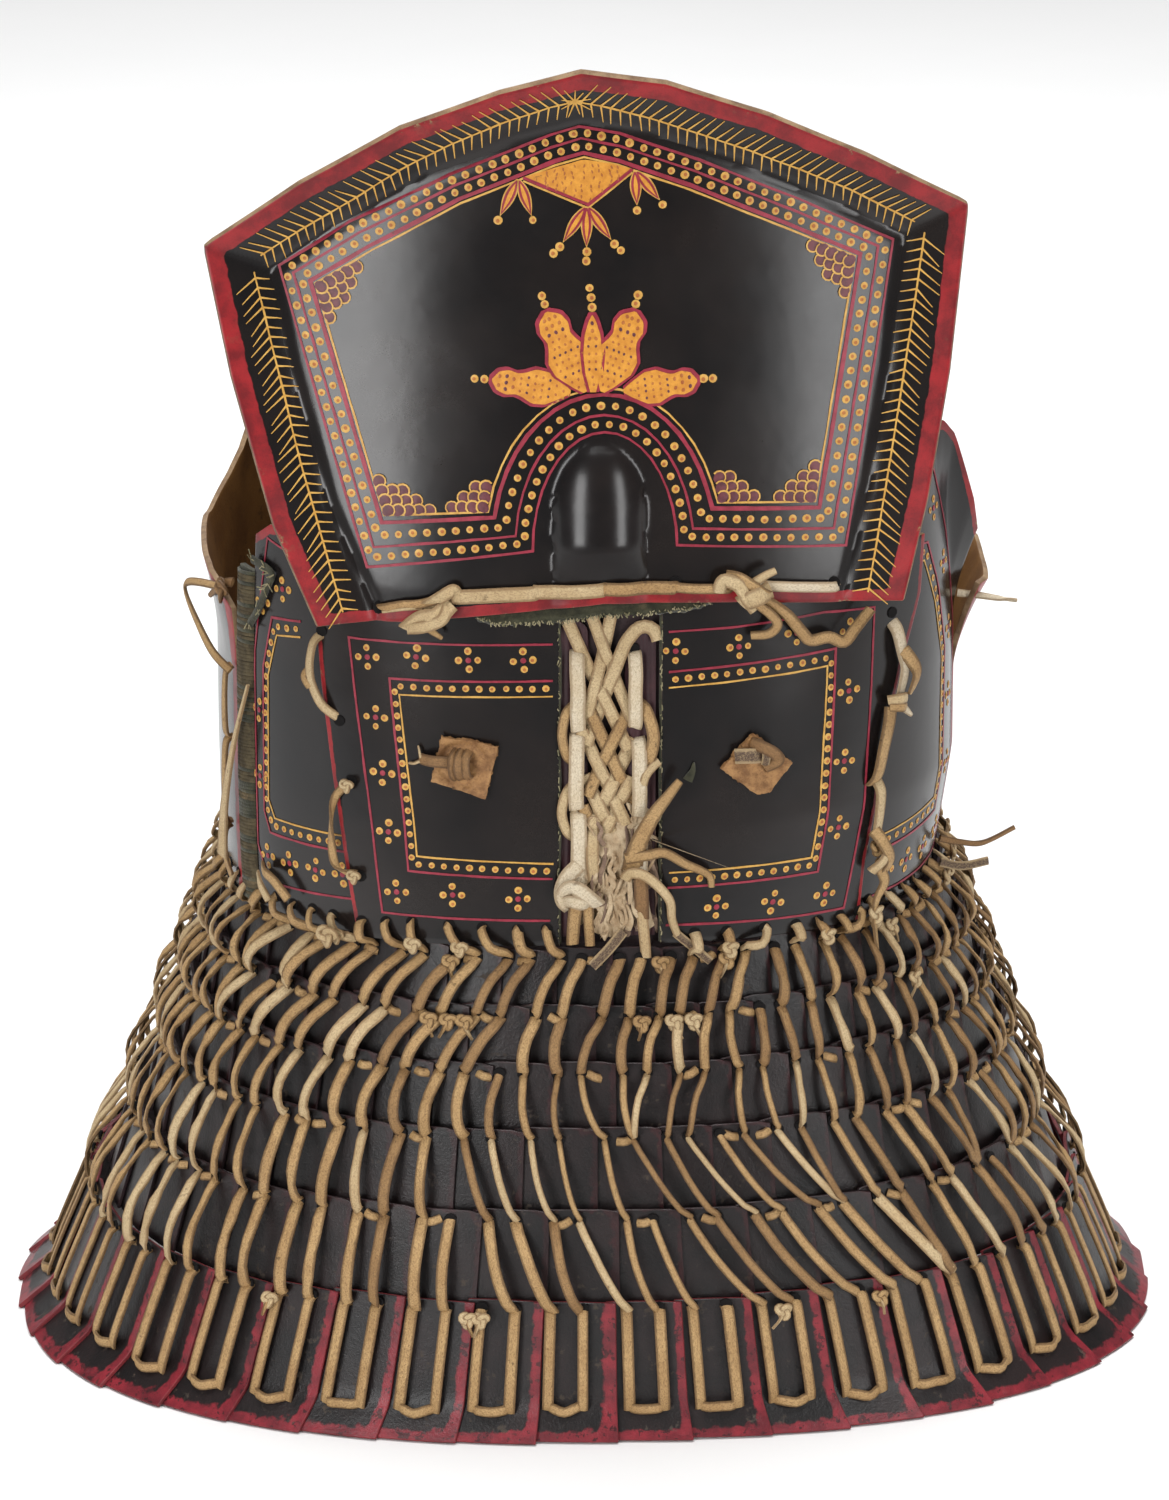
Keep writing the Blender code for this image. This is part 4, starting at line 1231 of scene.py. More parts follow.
def addFlower(stack, place, x, z, reach=0.0046, size=0.0038):
    # four ringed dots round a rose centre
    tilt = jitter(0.12)
    for k in range(4):
        angle = tilt + pi / 2 * k
        addRing(stack, place, x + reach * cos(angle), z + reach * sin(angle), size)
    addDab(stack, place, x, z, 0.003, 0.003, 0, 0.5)


def leafWidth(breadth, tip=0.9):
    return lambda t: breadth * max(0.03, sin(pi * min(1.0, 0.04 + 0.96 * t ** tip)))


def addPetal(stack, place, root, tip):
    # yellow outline, red body and an orange middle
    for start, end, look, lift, breadth in (
        (0.0, 1.0, 1, 0, 0.0056), (0.04, 0.95, 0, 1.4, 0.0042), (0.12, 0.86, 3, 2.8, 0.002),
    ):
        line = [between(root, tip, start), between(root, tip, end)]
        addLine(stack, place, line, 0, look, lift, widths=leafWidth(breadth), step=0.0016, steady=True)


# The border's path on the top plate: outer station, inner station.
borderLook = {
    "stations": [
        ((-0.1117, 0.4304), (-0.1034, 0.4563)), ((-0.1514, 0.5722), (-0.1346, 0.5653)),
        ((-0.1178, 0.5955), (-0.1077, 0.5827)), ((-0.0707, 0.62), (-0.066, 0.6066)),
        ((-0.0238, 0.639), (-0.0216, 0.625)), ((-0.0102, 0.6431), (-0.008, 0.6288)),
        ((0.0091, 0.6395), (0.008, 0.625)), ((0.0468, 0.6262), (0.0419, 0.6125)),
        ((0.0945, 0.605), (0.0868, 0.5925)), ((0.1397, 0.5823), (0.1211, 0.5761)),
        ((0.117, 0.4374), (0.1018, 0.4603)), ((0.0353, 0.4432), (0.0549, 0.463)),
    ],
    # centre x, foot z, half width, height, widest turn in degrees, for the outer and inner arch
    "outerArch": (0.001, 0.4423, 0.0343, 0.0563, 90.0),
    "innerArch": (0.0003, 0.4423, 0.0562, 0.0773, 75.5),
    "leftFoot": ((-0.0332, 0.4413), (-0.0543, 0.46)),
    # share of the way from the outer to the inner station, width, look
    "lines": [(0.0, 0.00115, 0), (0.39, 0.00115, 0), (0.86, 0.0019, 0), (1.0, 0.00095, 1)],
    "dotShares": (0.195, 0.615),
    "dotPitch": 0.0069,
}


def borderPath(share):
    def archPoint(arch, t):
        turn = radians(arch[4] * (2 * t - 1))
        return (arch[0] - arch[2] * sin(turn), arch[1] + arch[3] * cos(turn))

    pairs = list(borderLook["stations"])
    for k in range(1, 18):
        pairs.append((archPoint(borderLook["outerArch"], k / 18), archPoint(borderLook["innerArch"], k / 18)))
    pairs += [borderLook["leftFoot"], pairs[0]]
    return [between(outer, inner, share) for outer, inner in pairs]


def finishPaint(stack, name):
    finishStack(stack, name, ["rose", "yellow", "orange", "ochre", "plumFill"], degrees=60)


def paintPlateBorder():
    stack = newStack()
    for share, width, look in borderLook["lines"]:
        addLine(stack, platePlace, borderPath(share), width, look, close=True)
    for share in borderLook["dotShares"]:
        path = borderPath(share)
        for a, b in ((0, 1), (1, 5), (5, 9), (9, 10), (10, 11), (11, 29), (29, 30)):
            addRings(stack, platePlace, path[a:b + 1], borderLook["dotPitch"])
    return stack


featherLook = {
    "left": [(-0.1234, 0.4092), (-0.1428, 0.4808), (-0.1632, 0.569)],
    "topLeft": [
        (-0.16, 0.5772), (-0.1414, 0.5908), (-0.1177, 0.606), (-0.0942, 0.6222), (-0.0708, 0.635),
        (-0.0475, 0.6455), (-0.0241, 0.6535), (-0.0124, 0.6562),
    ],
    "topRight": [
        (0.15, 0.5905), (0.1183, 0.6088), (0.0942, 0.62), (0.0703, 0.6302), (0.0465, 0.6392),
        (0.0229, 0.6474), (-0.0006, 0.654), (-0.0124, 0.6562),
    ],
    "right": [(0.1276, 0.4145), (0.1319, 0.4395), (0.1406, 0.4916), (0.1502, 0.5531), (0.1548, 0.585)],
    "pitch": 0.0047,
    "star": (-0.0124, 0.6562),
}


def addFeather(stack, path, outSide):
    # a spine with barbs that trail back from its far end; outSide is +1 where the rim is on the right
    addLine(stack, platePlace, path, 0.00085, 1)
    total = sum(dist(a, b) for a, b in zip(path, path[1:]))
    count = int(total / featherLook["pitch"])
    for k in range(count):
        t = (k + 0.4) / count
        a, b = alongLine(path, max(0.0, t - 0.01)), alongLine(path, min(1.0, t + 0.01))
        spot = alongLine(path, t)
        run = dist(a, b)
        ahead = ((b[0] - a[0]) / run, (b[1] - a[1]) / run)
        side = (ahead[1] * outSide, -ahead[0] * outSide)
        for reach, away, back in ((0.0098, 1, 0.0062), (0.0072, -1, 0.0028)):
            reach *= chance.uniform(0.86, 1.12)
            back *= chance.uniform(0.8, 1.2)
            tip = [spot[j] + side[j] * reach * away - ahead[j] * back for j in (0, 1)]
            thin = lambda t: 0.00095 * (1 - 0.62 * t)
            addLine(stack, platePlace, [spot, tip], 0, 1, 0.5, widths=thin, step=0.0035, steady=True)


def paintFeathers():
    stack = newStack()
    for part, outSide in (("left", -1), ("topLeft", -1), ("topRight", 1), ("right", 1)):
        addFeather(stack, featherLook[part], outSide)
    x, z = featherLook["star"]
    for k in range(9):
        angle = radians(90 + 40 * k)
        size = 0.0075 * chance.uniform(0.8, 1.15)
        addLine(stack, platePlace, [(x, z), (x + size * cos(angle), z + size * sin(angle))], 0, 1, 1,
                widths=lambda t: 0.001 * (1 - 0.6 * t), step=0.0035, steady=True)
    return stack


scaleLook = {
    # corner, way along its first side, way along its second side, count along each
    "corners": [
        ((-0.1335, 0.5648), (-0.1077, 0.581), (-0.124, 0.525), 5, 4),
        ((0.12, 0.5752), (0.0868, 0.5915), (0.116, 0.544), 5, 4),
        ((-0.1026, 0.4572), (-0.111, 0.485), (-0.06, 0.4592), 4, 5),
        ((-0.0553, 0.4608), (-0.052, 0.48), (-0.09, 0.459), 3, 4),
        ((0.056, 0.464), (0.052, 0.485), (0.1, 0.462), 3, 4),
        ((0.1008, 0.461), (0.105, 0.486), (0.06, 0.464), 4, 4),
    ],
    "pitch": 0.0053,
}


def paintScales(stack):
    for corner, first, second, countA, countB in scaleLook["corners"]:
        ways = []
        for goal in (first, second):
            run = dist(corner, goal)
            ways.append(((goal[0] - corner[0]) / run, (goal[1] - corner[1]) / run))
        face = math.atan2(ways[0][1] + ways[1][1], ways[0][0] + ways[1][0])
        spots = [(i, j) for i in range(countA) for j in range(countB) if i / countA + j / countB < 0.92]
        spots.sort(key=lambda spot: -(spot[0] + spot[1]))
        for order, (i, j) in enumerate(spots):
            a, b = (i + 0.35) * scaleLook["pitch"], (j + 0.35) * scaleLook["pitch"]
            x = corner[0] + ways[0][0] * a * 0.92 + ways[1][0] * b * 0.92
            z = corner[1] + ways[0][1] * a * 0.92 + ways[1][1] * b * 0.92
            lift = order * 0.22
            addDab(stack, platePlace, x, z, 0.0054, 0.007, 4, lift, face - pi / 2, 0.0002)
            arc = []
            for k in range(7):
                turn = face + radians(-96 + 32 * k)
                arc.append((x + 0.0031 * cos(turn), z + 0.0031 * sin(turn)))
            addLine(stack, platePlace, arc, 0.00075, 1, lift + 1.6, step=0.003)


lobeLook = {
    "profile": [
        (0.0, 0.1), (0.1, 0.42), (0.3, 0.94), (0.46, 1.0), (0.6, 0.7), (0.68, 0.6), (0.8, 0.72), (0.92, 0.56),
        (1.0, 0.06),
    ],
    "slim": [(0.0, 0.3), (0.25, 0.8), (0.5, 1.0), (0.75, 0.82), (0.92, 0.4), (1.0, 0.06)],
    # root, tip, breadth, profile
    "lobes": [
        ((-0.015, 0.518), (-0.052, 0.5235), 0.0165, "profile"),
        ((0.01, 0.5182), (0.045, 0.5222), 0.016, "profile"),
        ((-0.008, 0.518), (-0.0262, 0.556), 0.02, "profile"),
        ((0.0, 0.518), (0.0158, 0.5558), 0.02, "profile"),
        ((-0.0044, 0.518), (-0.0046, 0.5545), 0.009, "slim"),
    ],
    "chains": [
        [(-0.0268, 0.5594), (-0.0282, 0.5634)], [(0.016, 0.5594), (0.0172, 0.5634)],
        [(-0.0047, 0.558), (-0.0051, 0.5626), (-0.0056, 0.5672)],
        [(-0.0556, 0.5238), (-0.0602, 0.5236)], [(0.048, 0.5228), (0.0526, 0.5226)],
    ],
}


def paintLobes(stack):
    for order, (root, tip, breadth, profile) in enumerate(lobeLook["lobes"]):
        table = lobeLook[profile]
        run = dist(root, tip)
        way = ((tip[0] - root[0]) / run, (tip[1] - root[1]) / run)
        grown = [root, (tip[0] + way[0] * 0.0014, tip[1] + way[1] * 0.0014)]
        lift = order * 1.2
        addLine(stack, platePlace, grown, 0, 0, lift, widths=lambda t: breadth * readTable(table, t) + 0.003,
            step=0.0014, steady=True)
        addLine(stack, platePlace, [root, tip], 0, 3, lift + 1.5, widths=lambda t: breadth * readTable(table, t),
            step=0.0014, steady=True)
        count = int(run / 0.0034)
        for k in range(1, count):
            t = k / count
            wide = breadth * readTable(table, t)
            across = max(1, int(wide / 0.0036))
            for j in range(across):
                side = ((j + 0.5) / across - 0.5) * wide * 0.82 + jitter(0.0004)
                x = root[0] + way[0] * run * t + way[1] * side
                z = root[1] + way[1] * run * t - way[0] * side
                big = 0.0017 if t > 0.68 else 0.0012
                addDab(stack, platePlace, x, z, big, big * 1.25, 2 if k % 3 else 4, lift + 3.2, jitter(0.6), 0.00016)
    for chain in lobeLook["chains"]:
        for x, z in chain:
            addRing(stack, platePlace, x, z, 0.0043)


canopyLook = {
    "upper": [(-0.0366, 0.6192), (-0.0216, 0.624), (-0.0082, 0.6278), (0.004, 0.6258), (0.0148, 0.623)],
    "lowerTip": (-0.0062, 0.6066),
    "petals": [
        ((-0.0392, 0.6184), (-0.0476, 0.601)), ((-0.0386, 0.6184), (-0.0328, 0.6012)),
        ((-0.0072, 0.6058), (-0.0182, 0.5888)), ((-0.0068, 0.6058), (-0.0071, 0.5864)),
        ((-0.0064, 0.6058), (0.0046, 0.5898)), ((0.0158, 0.6222), (0.0168, 0.6058)),
        ((0.0164, 0.6222), (0.0276, 0.608)),
    ],
    "dots": [
        (-0.0486, 0.599), (-0.0322, 0.5992), (-0.0198, 0.5868), (-0.0228, 0.5836), (-0.007, 0.5842),
        (-0.0071, 0.58), (0.0062, 0.588), (0.009, 0.5848), (0.0168, 0.6036), (0.029, 0.606),
    ],
}


def paintCanopy(stack):
    upper, tip = canopyLook["upper"], canopyLook["lowerTip"]

    def patch(u, v):
        high = alongLine(upper, u)
        low = between(upper[0], tip, u / 0.585) if u < 0.585 else between(tip, upper[-1], (u - 0.585) / 0.415)
        return between(low, high, v)

    unit = makeStrapUnit("patchUnit", 24, 5)
    points = []
    for x, y, z in unit["points"]:
        spot = patch(x + 0.5, y)
        points.append(tuple(platePlace(spot[0], spot[1], paintLook["lift"] * 1.6 + (z + 0.5) * paintLook["thick"])))
    addCopy(stack, unit, np.array(points), unit["points"][:, :2], 3)
    edge = [upper[0], tip, upper[-1]]
    low = [(x, z - 0.0016) for x, z in edge]
    addLine(stack, platePlace, edge, 0.0014, 0, 2.0)
    addLine(stack, platePlace, low, 0.0009, 1, 1.0)
    for k in range(12):
        for j in range(6):
            u, v = (k + 0.5 + jitter(0.25)) / 12, (j + 0.6 + jitter(0.2)) / 6.4
            spot = patch(u, v)
            if alongLine(upper, u)[1] - spot[1] > 0.0006 and abs(patch(u, 0.0)[1] - patch(u, 1.0)[1]) > 0.006:
                addDab(stack, platePlace, spot[0], spot[1], 0.0008, 0.0019, 2, 3.2, jitter(0.5), 0.00016)
    for root, end in canopyLook["petals"]:
        addPetal(stack, platePlace, root, end)
    for x, z in canopyLook["dots"]:
        addRing(stack, platePlace, x, z, 0.0044)


stack = paintPlateBorder()
paintScales(stack)
paintLobes(stack)
paintCanopy(stack)
finishPaint(stack, "platePaint")
finishPaint(paintFeathers(), "featherPaint")
print("top plate painting")


# Waist painting, laid out by length along the torso and height.

frontPaint = lambda s, z, out: torsoPlace(s, z, torsoForm["frontOut"] + out)
sidePaint = lambda s, z, out: torsoPlace(s, z, out)


def waistSpots(pairs):
    return [(lengthAt(degrees), z) for degrees, z in pairs]


def frameMarks(stack, place, outer, inner, dotLine, thinLine, flowers):
    # outer and inner rose lines, a row of ringed dots, a thin yellow line and flowers between
    addLine(stack, place, waistSpots(outer), 0.00105)
    addLine(stack, place, waistSpots(inner), 0.0011)
    addLine(stack, place, waistSpots(thinLine), 0.00085, 1)
    spots = waistSpots(dotLine)
    for a, b in zip(spots, spots[1:]):
        addRings(stack, place, [a, b], 0.0062, 0.0036)
    for degrees, z in flowers:
        addFlower(stack, place, lengthAt(degrees), z)


stack = newStack()
frameMarks(
    stack, frontPaint,
    [(-3.9, 0.393), (-34.6, 0.3911), (-28.2, 0.2527), (-3.6, 0.252)],
    [(-3.9, 0.3746), (-26.9, 0.3729), (-23.6, 0.2755), (-3.6, 0.2735)],
    [(-3.9, 0.3708), (-26.1, 0.3692), (-22.9, 0.2794), (-3.6, 0.2774)],
    [(-3.9, 0.3668), (-25.2, 0.3652), (-22.2, 0.2834), (-3.6, 0.2814)],
    [
        (-31.0, 0.3824), (-22.4, 0.3848), (-14.4, 0.3844), (-7.2, 0.3848), (-29.4, 0.3524), (-28.2, 0.3244),
        (-27.2, 0.2946), (-25.6, 0.264), (-16.4, 0.2645), (-7.4, 0.2632),
    ],
)
frameMarks(
    stack, frontPaint,
    [(5.8, 0.3982), (15.0, 0.3992), (29.4, 0.402), (40.3, 0.3996), (37.0, 0.247), (6.6, 0.2484)],
    [(5.8, 0.378), (31.7, 0.3828), (29.9, 0.2692), (6.4, 0.2677)],
    [(5.8, 0.3741), (30.9, 0.3788), (29.1, 0.2732), (6.4, 0.2717)],
    [(5.8, 0.37), (30.0, 0.3746), (28.3, 0.277), (6.4, 0.2755)],
    [
        (6.6, 0.3884), (15.0, 0.389), (24.4, 0.3932), (34.8, 0.3905), (34.4, 0.36), (33.6, 0.3245),
        (33.0, 0.2907), (32.2, 0.2565), (13.2, 0.2565), (22.2, 0.2565),
    ],
)
finishPaint(stack, "waistPaint")

stack = newStack()
frameMarks(
    stack, sidePaint,
    [(-47.0, 0.4235), (-57.4, 0.429), (-61.2, 0.37), (-61.0, 0.27), (-57.5, 0.253), (-33.6, 0.256)],
    [(-47.0, 0.3925), (-55.4, 0.39), (-58.0, 0.364), (-58.4, 0.289), (-56.4, 0.279), (-36.0, 0.2795)],
    [(-47.0, 0.3885), (-54.6, 0.386), (-57.2, 0.362), (-57.6, 0.2925), (-55.6, 0.2832), (-37.0, 0.2835)],
    [(-47.0, 0.3845), (-53.8, 0.382), (-56.4, 0.36), (-56.8, 0.296), (-54.8, 0.2874), (-37.0, 0.2876)],
    [
        (-52.3, 0.406), (-58.6, 0.396), (-59.8, 0.34), (-59.8, 0.306), (-57.6, 0.266), (-50.6, 0.2665),
        (-43.6, 0.267), (-37.2, 0.2675),
    ],
)
frameMarks(
    stack, sidePaint,
    [(50.0, 0.456), (63.5, 0.456), (70.8, 0.418), (76.4, 0.37), (75.6, 0.25), (46.0, 0.247)],
    [(52.0, 0.422), (60.0, 0.42), (65.0, 0.394), (68.6, 0.36), (68.2, 0.276), (44.6, 0.27)],
    [(52.0, 0.4178), (59.2, 0.416), (64.0, 0.391), (67.6, 0.358), (67.2, 0.2802), (44.6, 0.2742)],
    [(52.0, 0.4136), (58.2, 0.412), (63.0, 0.388), (66.6, 0.356), (66.2, 0.2844), (44.6, 0.2784)],
    [
        (57.0, 0.438), (63.4, 0.435), (68.6, 0.404), (72.0, 0.368), (72.2, 0.333), (72.2, 0.298), (71.8, 0.264),
        (64.2, 0.26), (56.6, 0.259), (49.4, 0.258),
    ],
)
finishPaint(stack, "sidePaintMarks")
print("waist painting")


# Centre slot: backing, edge strips, lacing and what is left of the hide that filled it.

slotLook = {
    "backing": (-0.0297, 0.04, 0.2386, 0.415),
    # left, right, low, high of the two strips
    "strips": [(-0.0198, -0.0068, 0.243, 0.404), (0.0112, 0.0256, 0.243, 0.3985)],
    # stretches of the running thongs: x and height of both ends, width
    "running": [
        (-0.0118, 0.3885, -0.0112, 0.349, 0.0073), (-0.0118, 0.3468, -0.012, 0.3092, 0.0074),
        (-0.0112, 0.307, -0.0108, 0.268, 0.0077), (0.0153, 0.3878, 0.0156, 0.3505, 0.0068),
        (0.0172, 0.344, 0.0174, 0.305, 0.0072), (0.0183, 0.301, 0.0185, 0.272, 0.0068),
    ],
    # lacing straps that fall and rise towards the right: x, height
    "falling": [
        [(-0.0173, 0.4071), (-0.0077, 0.3838), (0.0023, 0.3625), (0.0124, 0.3392)],
        [(-0.0049, 0.4071), (0.0018, 0.3873), (0.0085, 0.3686), (0.0153, 0.3513)],
        [(-0.0111, 0.3726), (-0.0049, 0.3574), (0.0023, 0.3402), (0.0095, 0.3229), (0.0153, 0.3097)],
        [(-0.0097, 0.3493), (-0.0025, 0.3331), (0.0047, 0.3168), (0.0114, 0.3006)],
        [(-0.0087, 0.326), (-0.002, 0.3118), (0.0047, 0.2966)],
        [(-0.0092, 0.3108), (-0.0034, 0.2966)],
    ],
    "rising": [
        [(0.0042, 0.4071), (0.0004, 0.3873), (-0.0039, 0.3696), (-0.0082, 0.3523)],
        [
            (0.0264, 0.394), (0.024, 0.4005), (0.018, 0.4015), (0.0116, 0.3945), (0.0061, 0.3807),
            (-0.0001, 0.3625), (-0.0077, 0.3422),
        ],
        [(0.0143, 0.3625), (0.0071, 0.3478), (-0.0001, 0.3321), (-0.0068, 0.3158)],
        [(0.0153, 0.3442), (0.0085, 0.33), (0.0014, 0.3138), (-0.0049, 0.2996)],
        [(0.0143, 0.325), (0.0076, 0.3118), (0.0004, 0.2956)],
    ],
    "laceWidth": 0.0064,
    "seed": 61,
}
chance = random.Random(slotLook["seed"])


def frontSpot(x, z, out):
    return torsoPoint(torsoDegrees(x, z), z, out)


def frontSheet(name, columns, rows, spotOf, out, wall, looks, lift=None, bevel=0.0004):
    # a flat piece on the front of the torso; spotOf gives its x and height
    def place(u, v):
        x, z = spotOf(u, v)
        return frontSpot(x, z, out + (lift(x, z) if lift else 0.0))

    return bentSheet(name, columns, rows, place, wall, looks, None, bevel)


def stripSpot(strip, u, v):
    # a strip with a rounded top
    left, right, low, high = strip
    half = (right - left) / 2
    z = low + sin(pi / 2 * v) * (high - low)
    above = max(0.0, (z - high + half) / half)
    return (left + half + (2 * u - 1) * half * max(0.14, math.sqrt(max(0.0, 1 - above ** 2.4))), z)


def laceSpots():
    # every second crossing goes over, so that the two ways weave
    lines = slotLook["falling"] + slotLook["rising"]
    count = len(slotLook["falling"])
    steps = [[alongLine(line, k / 16) for k in range(17)] for line in lines]
    heights = np.zeros((len(lines), 17))
    for i in range(count):
        for j in range(count, len(lines)):
            gap, m, n = min((dist(a, b), m, n) for m, a in enumerate(steps[i]) for n, b in enumerate(steps[j]))
            if gap < 0.005:
                for strap, at, way in ((i, m, 1), (j, n, -1)):
                    run = dist(steps[strap][0], steps[strap][-1]) / 16
                    bump = np.exp(-(((np.arange(17) - at) * run / 0.0052) ** 2))
                    heights[strap] += way * (1 if (i + j) % 2 else -1) * bump
    return [[frontSpot(x, z, 0.0034 + 0.0011 * max(-1.3, min(1.3, h))) for (x, z), h in zip(row, high)]
            for row, high in zip(steps, heights)]


left, right, low, high = slotLook["backing"]
backing = frontSheet(
    "centreBacking", 30, 60, lambda u, v: (left + u * (right - left), low + v * (high - low)),
    0.0, 0.0018, ["skirtEdge"],
)
declare(backing, "centre_backing")
for name, node, strip in (("lacingStripLeft", "lacing_strip_left", slotLook["strips"][0]),
                          ("lacingStripRight", "lacing_strip_right", slotLook["strips"][1])):
    piece = frontSheet(name, 26, 90, lambda u, v: stripSpot(strip, u, v), 0.0022, 0.0019, ["purpleStrip"],
                       lambda x, z: 0.00022 * sin(2 * pi * x / 0.0034) + 0.0003 * noiseAt(x * 60, z * 40, 2))
    declare(piece, node)


def fromMm(spots):
    return [tuple(value / 1000 for value in spot) for spot in spots]


def addFrontStrap(stack, spots, width, thick=0.0018, **more):
    # spots are x, height and how far out
    addStrap(stack, [frontSpot(*spot) for spot in spots], Vector((0.0, -1.0, 0.05)), width, thick, **more)


def buildRunning(rows, name, node):
    stack = newStack()
    for x, z, endX, endZ, width in rows:
        spots = [(x, z, 0.0016), (x, z - 0.0016, 0.0046)]
        for t in (0.25, 0.5, 0.75):
            spots.append((x + t * (endX - x) + jitter(0.0004), z + t * (endZ - z), 0.006 + chance.uniform(0, 0.0006)))
        spots += [(endX, endZ + 0.0016, 0.0048), (endX, endZ, 0.0018)]
        addFrontStrap(stack, spots, width, 0.0023, long=True)
    finishStack(stack, name, ["whiteStrap"], node)


buildRunning(slotLook["running"][:3], "runningThongLeft", "running_thong_left")
buildRunning(slotLook["running"][3:], "runningThongRight", "running_thong_right")

stack = newStack()
for k, spots in enumerate(laceSpots()):
    faces = [Vector((jitter(0.12), -1.0, 0.05)) for _ in range(4)]
    addStrap(stack, spots, faces, slotLook["laceWidth"] * chance.uniform(0.92, 1.06), 0.0015, long=True,
        slot=k % 3 == 2)
finishStack(stack, "lacing", ["paleStrap", "strap"], "braid")

# Torn hide: layers of crumpled sheet with a few fibrous strips over them.
tornLook = {
    # left, right, low, high, how far out, height of the crumples, look, salt
    "layers": [
        (-0.01, 0.016, 0.25, 0.306, 0.0022, 0.0034, "tornHide", 3.1),
        (0.01, 0.0262, 0.244, 0.305, 0.0016, 0.0022, "tornDark", 8.7),
        (-0.003, 0.011, 0.242, 0.272, 0.0034, 0.0034, "tornHide", 5.3),
        (0.013, 0.023, 0.293, 0.311, 0.003, 0.003, "tornHide", 6.6),
    ],
    "strips": 34,
}
for k, (left, right, low, high, out, crumple, look, salt) in enumerate(tornLook["layers"]):
    def tornSpot(u, v):
        ragged = 0.0045 * noiseAt(u * 4.5, salt, v * 2.0) * abs(2 * v - 1) ** 3
        side = 0.0026 * noiseAt(salt, v * 7.0, 1.0) * abs(2 * u - 1)
        return (left + u * (right - left) + side, low + v * (high - low) + ragged)

    def tornLift(x, z):
        fold = 1 - abs(noiseAt(x * 190, z * 85, salt)) * 2.2
        return crumple * (0.7 * fold + 0.35 * noiseAt(x * 620, z * 330, salt))

    layer = frontSheet("tornHide%d" % (k + 1), 46, 84, tornSpot, out, 0.0009, [look], tornLift, 0)
    declare(layer, "" if k else "torn_hide")

stack = newStack()
for _ in range(tornLook["strips"]):
    x, z = chance.uniform(-0.007, 0.0245), chance.uniform(0.25, 0.3)
    reach, lean = chance.uniform(0.004, 0.011), jitter(0.0035)
    spots = [
        (x - lean, z - reach, 0.003), (x + jitter(0.002), z - reach * 0.3, 0.0058),
        (x + jitter(0.002), z + reach * 0.3, 0.0058), (x + lean, z + reach, 0.003),
    ]
    addFrontStrap(stack, spots, chance.uniform(0.0012, 0.0034), 0.0011, turn=jitter(0.5),
                  twist=jitter(1.0), taper=0.3, slot=chance.random() < 0.35)
finishStack(stack, "tornStrips", ["tornHide", "tornDark"])
print("slot lacing")

# Loops, wraps and loose ends in and round the slot: width, taper, look; then x, height and out. Lengths in mm.
looseLook = {
    "slots": ["strap", "paleStrap", "whiteStrap", "brownStrap", "darkStrap", "hole", "felt"],
    "rows": [
        (4.8, 0.0, 0, [(-12.5, 362.5, 2.5), (-16.8, 358, 4.8), (-18.6, 347.5, 5.8), (-16.5, 337, 5),
            (-12.5, 332.5, 2.5)]),
        (4.8, 0.0, 1, [(-12.5, 322.5, 2.5), (-16.8, 317.5, 4.8), (-18.8, 307.9, 5.8), (-16.5, 298.5, 5),
            (-12.5, 294, 2.5)]),
        (6.2, 0.0, 0, [(16.5, 362.5, 2.5), (20.5, 359, 4.8), (23.8, 346.3, 6.2), (21.5, 333.5, 5), (17, 329, 2.5)]),
        (4.2, 0.0, 1, [(18.3, 313, 3.5), (19.5, 325, 7), (23.2, 330.5, 6), (26.8, 333, 4.5)]),
        (7.8, 0.0, 2, [(-11, 281.5, 7), (-16, 276, 8), (-18.6, 269, 7.6), (-18, 262.8, 6), (-15, 259, 4)]),
        (7.6, 0.0, 2, [(-19, 264, 6), (-16, 270.6, 10.4), (-11.5, 271, 12.2), (-6, 266, 11.2), (-1.8, 260.6, 6.6)]),
        (6.6, 0.0, 2, [(-17.8, 262.2, 6), (-14, 264, 10.8), (-9, 262.6, 11), (-6, 260.6, 6)]),
        (6.8, 0.1, 0, [(-12, 262.6, 6.2), (-13.2, 252, 6.8), (-13.9, 240.3, 6)]),
        (5.2, 0.1, 0, [(-6.8, 263.1, 6), (-6.3, 252, 6.4), (-5.6, 239.5, 6.2)]),
        (6.2, 0.0, 1, [(-4.4, 299, 4), (-4.6, 286, 6.8), (-3.9, 273.2, 5)]),
        (7, 0.0, 3, [(17.9, 283, 4.5), (18.1, 270, 6.8), (18.8, 253, 5.8)]),
        (5.6, 0.1, 1, [(18.6, 256.6, 6), (19.6, 245, 6.6), (20.6, 233, 7)]),
        (10, 0.62, 0, [(14, 278, 6), (16.5, 292.5, 9), (22.9, 307.7, 11.5), (28.7, 317.9, 14), (34, 326.2, 15)]),
        (5.6, 0.42, 0, [(10.9, 284.4, 7), (20.5, 286.9, 10), (28.2, 288.4, 11.5), (37.3, 282.4, 11),
            (45.4, 277.8, 9.5), (49.7, 274.2, 8.5), (51.2, 268.2, 6.5)]),
        (5.8, 0.35, 1, [(10.5, 274, 7), (13, 277.8, 10), (18.5, 277.3, 11.5), (25.3, 271.2, 11.5), (30.6, 263.1, 11),
            (32, 253, 9), (35.4, 243.8, 6)]),
        (4.2, 0.0, 4, [(34.4, 244.8, 5.5), (42.1, 237.7, 7.5), (49.7, 230.6, 10)]),
        (5.2, 0.0, 4, [(10, 246.2, 5), (3, 238.2, 8), (-4.9, 230.1, 10)]),
        (5, 0.85, 6, [(40.4, 322.8, 4.2), (42.4, 327.5, 5), (43.2, 331.8, 4.4)]),
    ],
    "free": (12, 13, 14),
}
stack = newStack()
